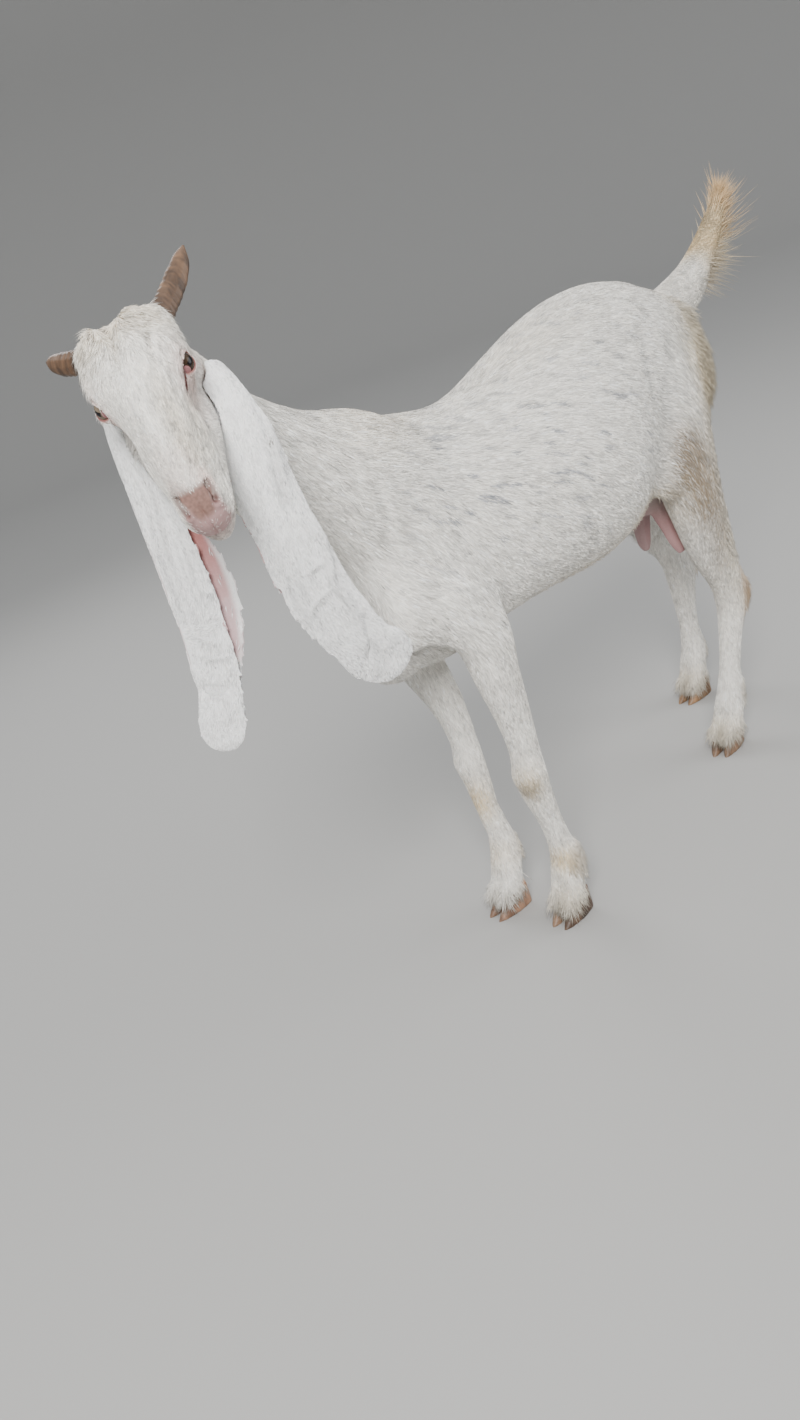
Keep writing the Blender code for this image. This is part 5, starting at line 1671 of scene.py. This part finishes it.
def lay_locks(name, spot, way, length, width, lift, tip, rng, look):
    """Long locks that follow the coat's lie and stay over the floor."""
    lie = laid_flat(hair_lie(spot), way)
    colour = coat_colour(spot)
    share = rng.uniform(0.1, 0.6, len(spot))
    box = spot.max(0) - spot.min(0)
    atlas = 0.05 + 0.9 * ((spot - spot.min(0)) / np.maximum(box, 1e-6))[:, (0, 2)]
    atlas[:, 0] = atlas[:, 0] / 2 + 0.5 * (way[:, 1] > 0)
    made = locks(name, spot, way, lie, length, width, lift, 0.12, colour,
                 mixed(colour, tip, share), atlas, rng, curl=0.14, sink=0.0006)
    clay = Clay(made)
    high = clay.points[:, 2]
    clay.points[:, 2] = np.maximum(high, CLEARANCE + 0.1 * np.abs(high))
    clay.points[:, 1] = eased(clay.points[:, 1], FAR_EDGE, FAR_ROOM)
    clay.write()
    return finished(made, look)


def ear_coat(name, settings, look, rng):
    skin = bpy.data.objects["skin_" + name]
    ground = Ground(skin)
    line = middle_line(name)
    spot, way = scatter(skin, settings.ear_count, rng)
    _, share = path_distance(spot, line)
    inside = inside_of_ear(name, spot, spot, way) * lining(share) > 0.5
    keep = ~inside | (rng.random(len(spot)) < 0.012)
    spot, way, share, inside = spot[keep], way[keep], share[keep], inside[keep]
    k = np.clip((share * (len(line) - 1)).astype(int), 0, len(line) - 2)
    lie = laid_flat(unit(line[k + 1] - line[k]), way)
    length = np.where(inside, 0.011, 0.0075)
    made = tufts("coat_" + name, ground, spot, way, lie, length, 0.00100,
                 np.where(inside, 0.0030, 0.0008), ear_colour(spot),
                 on_map(round_about(way), share), rng, spread=0.16, sheen=0.26, grain=0.045)
    return finished(made, look)


class DOE_OT_coat(bpy.types.Operator):
    """Lays the short coat over the hide and the ears"""
    bl_idname = "doe.coat"
    bl_label = "Lay Coat"

    def execute(self, context):
        settings = context.scene.doe_coat
        look = bpy.data.materials[HAIR_LOOK]
        make_coat(settings, look)
        rng = np.random.default_rng(settings.seed + 7)
        for name in ("ear_left", "ear_right"):
            ear_coat(name, settings, look, rng)
        return {"FINISHED"}


# Floor, lights and camera

def soft_light(name, place, target, size, energy, colour):
    lamp = bpy.data.lights.new(name, "AREA")
    lamp.shape = "DISK"
    lamp.size = size
    lamp.energy = energy
    lamp.color = colour
    made = bpy.data.objects.new(name, lamp)
    made.location = place
    made.rotation_euler = (Vector(target) - Vector(place)).to_track_quat("-Z", "Y").to_euler()
    bpy.context.scene.collection.objects.link(made)


def make_floor(colour, flat=9.0, curve=4.0, top=9.0):
    """A round floor that curves up into a plain wall, so that no edge shows behind her."""
    around = 128
    rings = [(flat * k / 6, 0.0) for k in range(1, 7)]
    for k in range(1, 17):
        turn = math.pi / 2 * k / 16
        rings.append((flat + curve * math.sin(turn), curve * (1 - math.cos(turn))))
    rings.append((flat + curve, top))
    turn = np.linspace(0, 2 * math.pi, around, endpoint=False)
    points = [np.zeros((1, 3))]
    for radius, high in rings:
        points.append(np.stack((radius * np.cos(turn), radius * np.sin(turn),
                                np.full(around, high)), 1))
    step = np.arange(around)
    quads = 1 + ring_faces(len(rings), around)[:, ::-1]
    centre = np.stack((np.zeros(around, int), 1 + (step + 1) % around, 1 + step), 1)
    cage = bmesh.new()
    corners = [cage.verts.new(point) for point in np.concatenate(points)]
    for face in quads.tolist() + centre[:, ::-1].tolist():
        cage.faces.new([corners[k] for k in face])
    mesh = bpy.data.meshes.new("floor")
    cage.to_mesh(mesh)
    cage.free()
    mesh.shade_smooth()
    floor = new_object("floor", mesh)
    floor.data.materials.append(floor_material(colour))


# The camera's pitch, roll and heading in degrees, and its place beside the animal as modelled
CAMERA_ANGLES = (22.2, 19.8, 52.0)
CAMERA_PLACE = (-1.16831, -1.037685, 0.98021)


def make_camera(focal):
    """The camera where the photograph was taken from: pitched down and rolled."""
    pitch, roll, heading = (math.radians(angle) for angle in CAMERA_ANGLES)
    ahead = Vector((math.cos(heading), math.sin(heading), 0.0))
    right = Vector((math.sin(heading), -math.cos(heading), 0.0))
    up = Vector((0.0, 0.0, 1.0))
    look = ahead * math.cos(pitch) - up * math.sin(pitch)
    top = ahead * math.sin(pitch) + up * math.cos(pitch)
    x = right * math.cos(roll) - top * math.sin(roll)
    y = right * math.sin(roll) + top * math.cos(roll)
    lens = bpy.data.cameras.new("camera")
    lens.lens = focal
    lens.sensor_width = 36.0
    lens.clip_start = 0.02
    made = bpy.data.objects.new("camera", lens)
    turn = Matrix((x, y, -look)).transposed().to_4x4()
    made.matrix_world = Matrix.Translation(Vector(CAMERA_PLACE) + Vector(SHIFT)) @ turn
    bpy.context.scene.collection.objects.link(made)
    bpy.context.scene.camera = made


class DOE_OT_studio(bpy.types.Operator):
    """Sets up the floor, the lights and the camera"""
    bl_idname = "doe.studio"
    bl_label = "Set Up Studio"

    def execute(self, context):
        settings = context.scene.doe_studio
        make_floor(tuple(settings.floor_colour))
        world = bpy.data.worlds.new("soft sky")
        world.use_nodes = True
        shade = world.node_tree.nodes["Background"]
        shade.inputs["Color"].default_value = (0.95, 0.975, 1.0, 1.0)
        shade.inputs["Strength"].default_value = settings.sky
        context.scene.world = world
        soft_light("key", (-2.6, -2.35, 3.0), (0, 0, 0.6), 1.6, 225, (1.0, 0.985, 0.96))
        soft_light("fill", (2.6, -2.0, 1.8), (0, 0, 0.5), 2.5, 50, (0.97, 0.985, 1.0))
        soft_light("rim", (0.6, 2.8, 2.6), (0, 0, 0.6), 2.0, 45, (1.0, 1.0, 1.0))
        make_camera(settings.focal)
        return {"FINISHED"}


class DOE_PT_panel(bpy.types.Panel):
    bl_label = "Doe"
    bl_idname = "DOE_PT_panel"
    bl_space_type = "VIEW_3D"
    bl_region_type = "UI"
    bl_category = "Doe"

    def draw(self, context):
        for group in ("doe_hide", "doe_coat", "doe_studio"):
            settings = getattr(context.scene, group)
            box = self.layout.box()
            for key in settings.bl_rna.properties.keys():
                if key not in ("rna_type", "name"):
                    box.prop(settings, key)
        for maker in OPERATORS:
            self.layout.operator(maker.bl_idname)


OPERATORS = (DOE_OT_hide, DOE_OT_ears, DOE_OT_eyes, DOE_OT_horns, DOE_OT_claws, DOE_OT_udder,
             DOE_OT_tail, DOE_OT_coat, DOE_OT_studio)
GROUPS = (("doe_hide", HideSettings), ("doe_coat", CoatSettings), ("doe_studio", StudioSettings))


def register():
    for name, group in GROUPS:
        bpy.utils.register_class(group)
        setattr(bpy.types.Scene, name, PointerProperty(type=group))
    for maker in OPERATORS:
        bpy.utils.register_class(maker)
    bpy.utils.register_class(DOE_PT_panel)


def unregister():
    bpy.utils.unregister_class(DOE_PT_panel)
    for maker in reversed(OPERATORS):
        bpy.utils.unregister_class(maker)
    for name, group in reversed(GROUPS):
        delattr(bpy.types.Scene, name)
        bpy.utils.unregister_class(group)


def main():
    for thing in list(bpy.data.objects):
        if thing.type in ("LIGHT", "CAMERA") or thing.name == "Cube":
            bpy.data.objects.remove(thing, do_unlink=True)
    register()
    for step in (bpy.ops.doe.hide, bpy.ops.doe.ears, bpy.ops.doe.eyes, bpy.ops.doe.horns,
                 bpy.ops.doe.claws, bpy.ops.doe.udder, bpy.ops.doe.tail, bpy.ops.doe.coat,
                 bpy.ops.doe.studio):
        step()


if __name__ == "__main__":
    main()
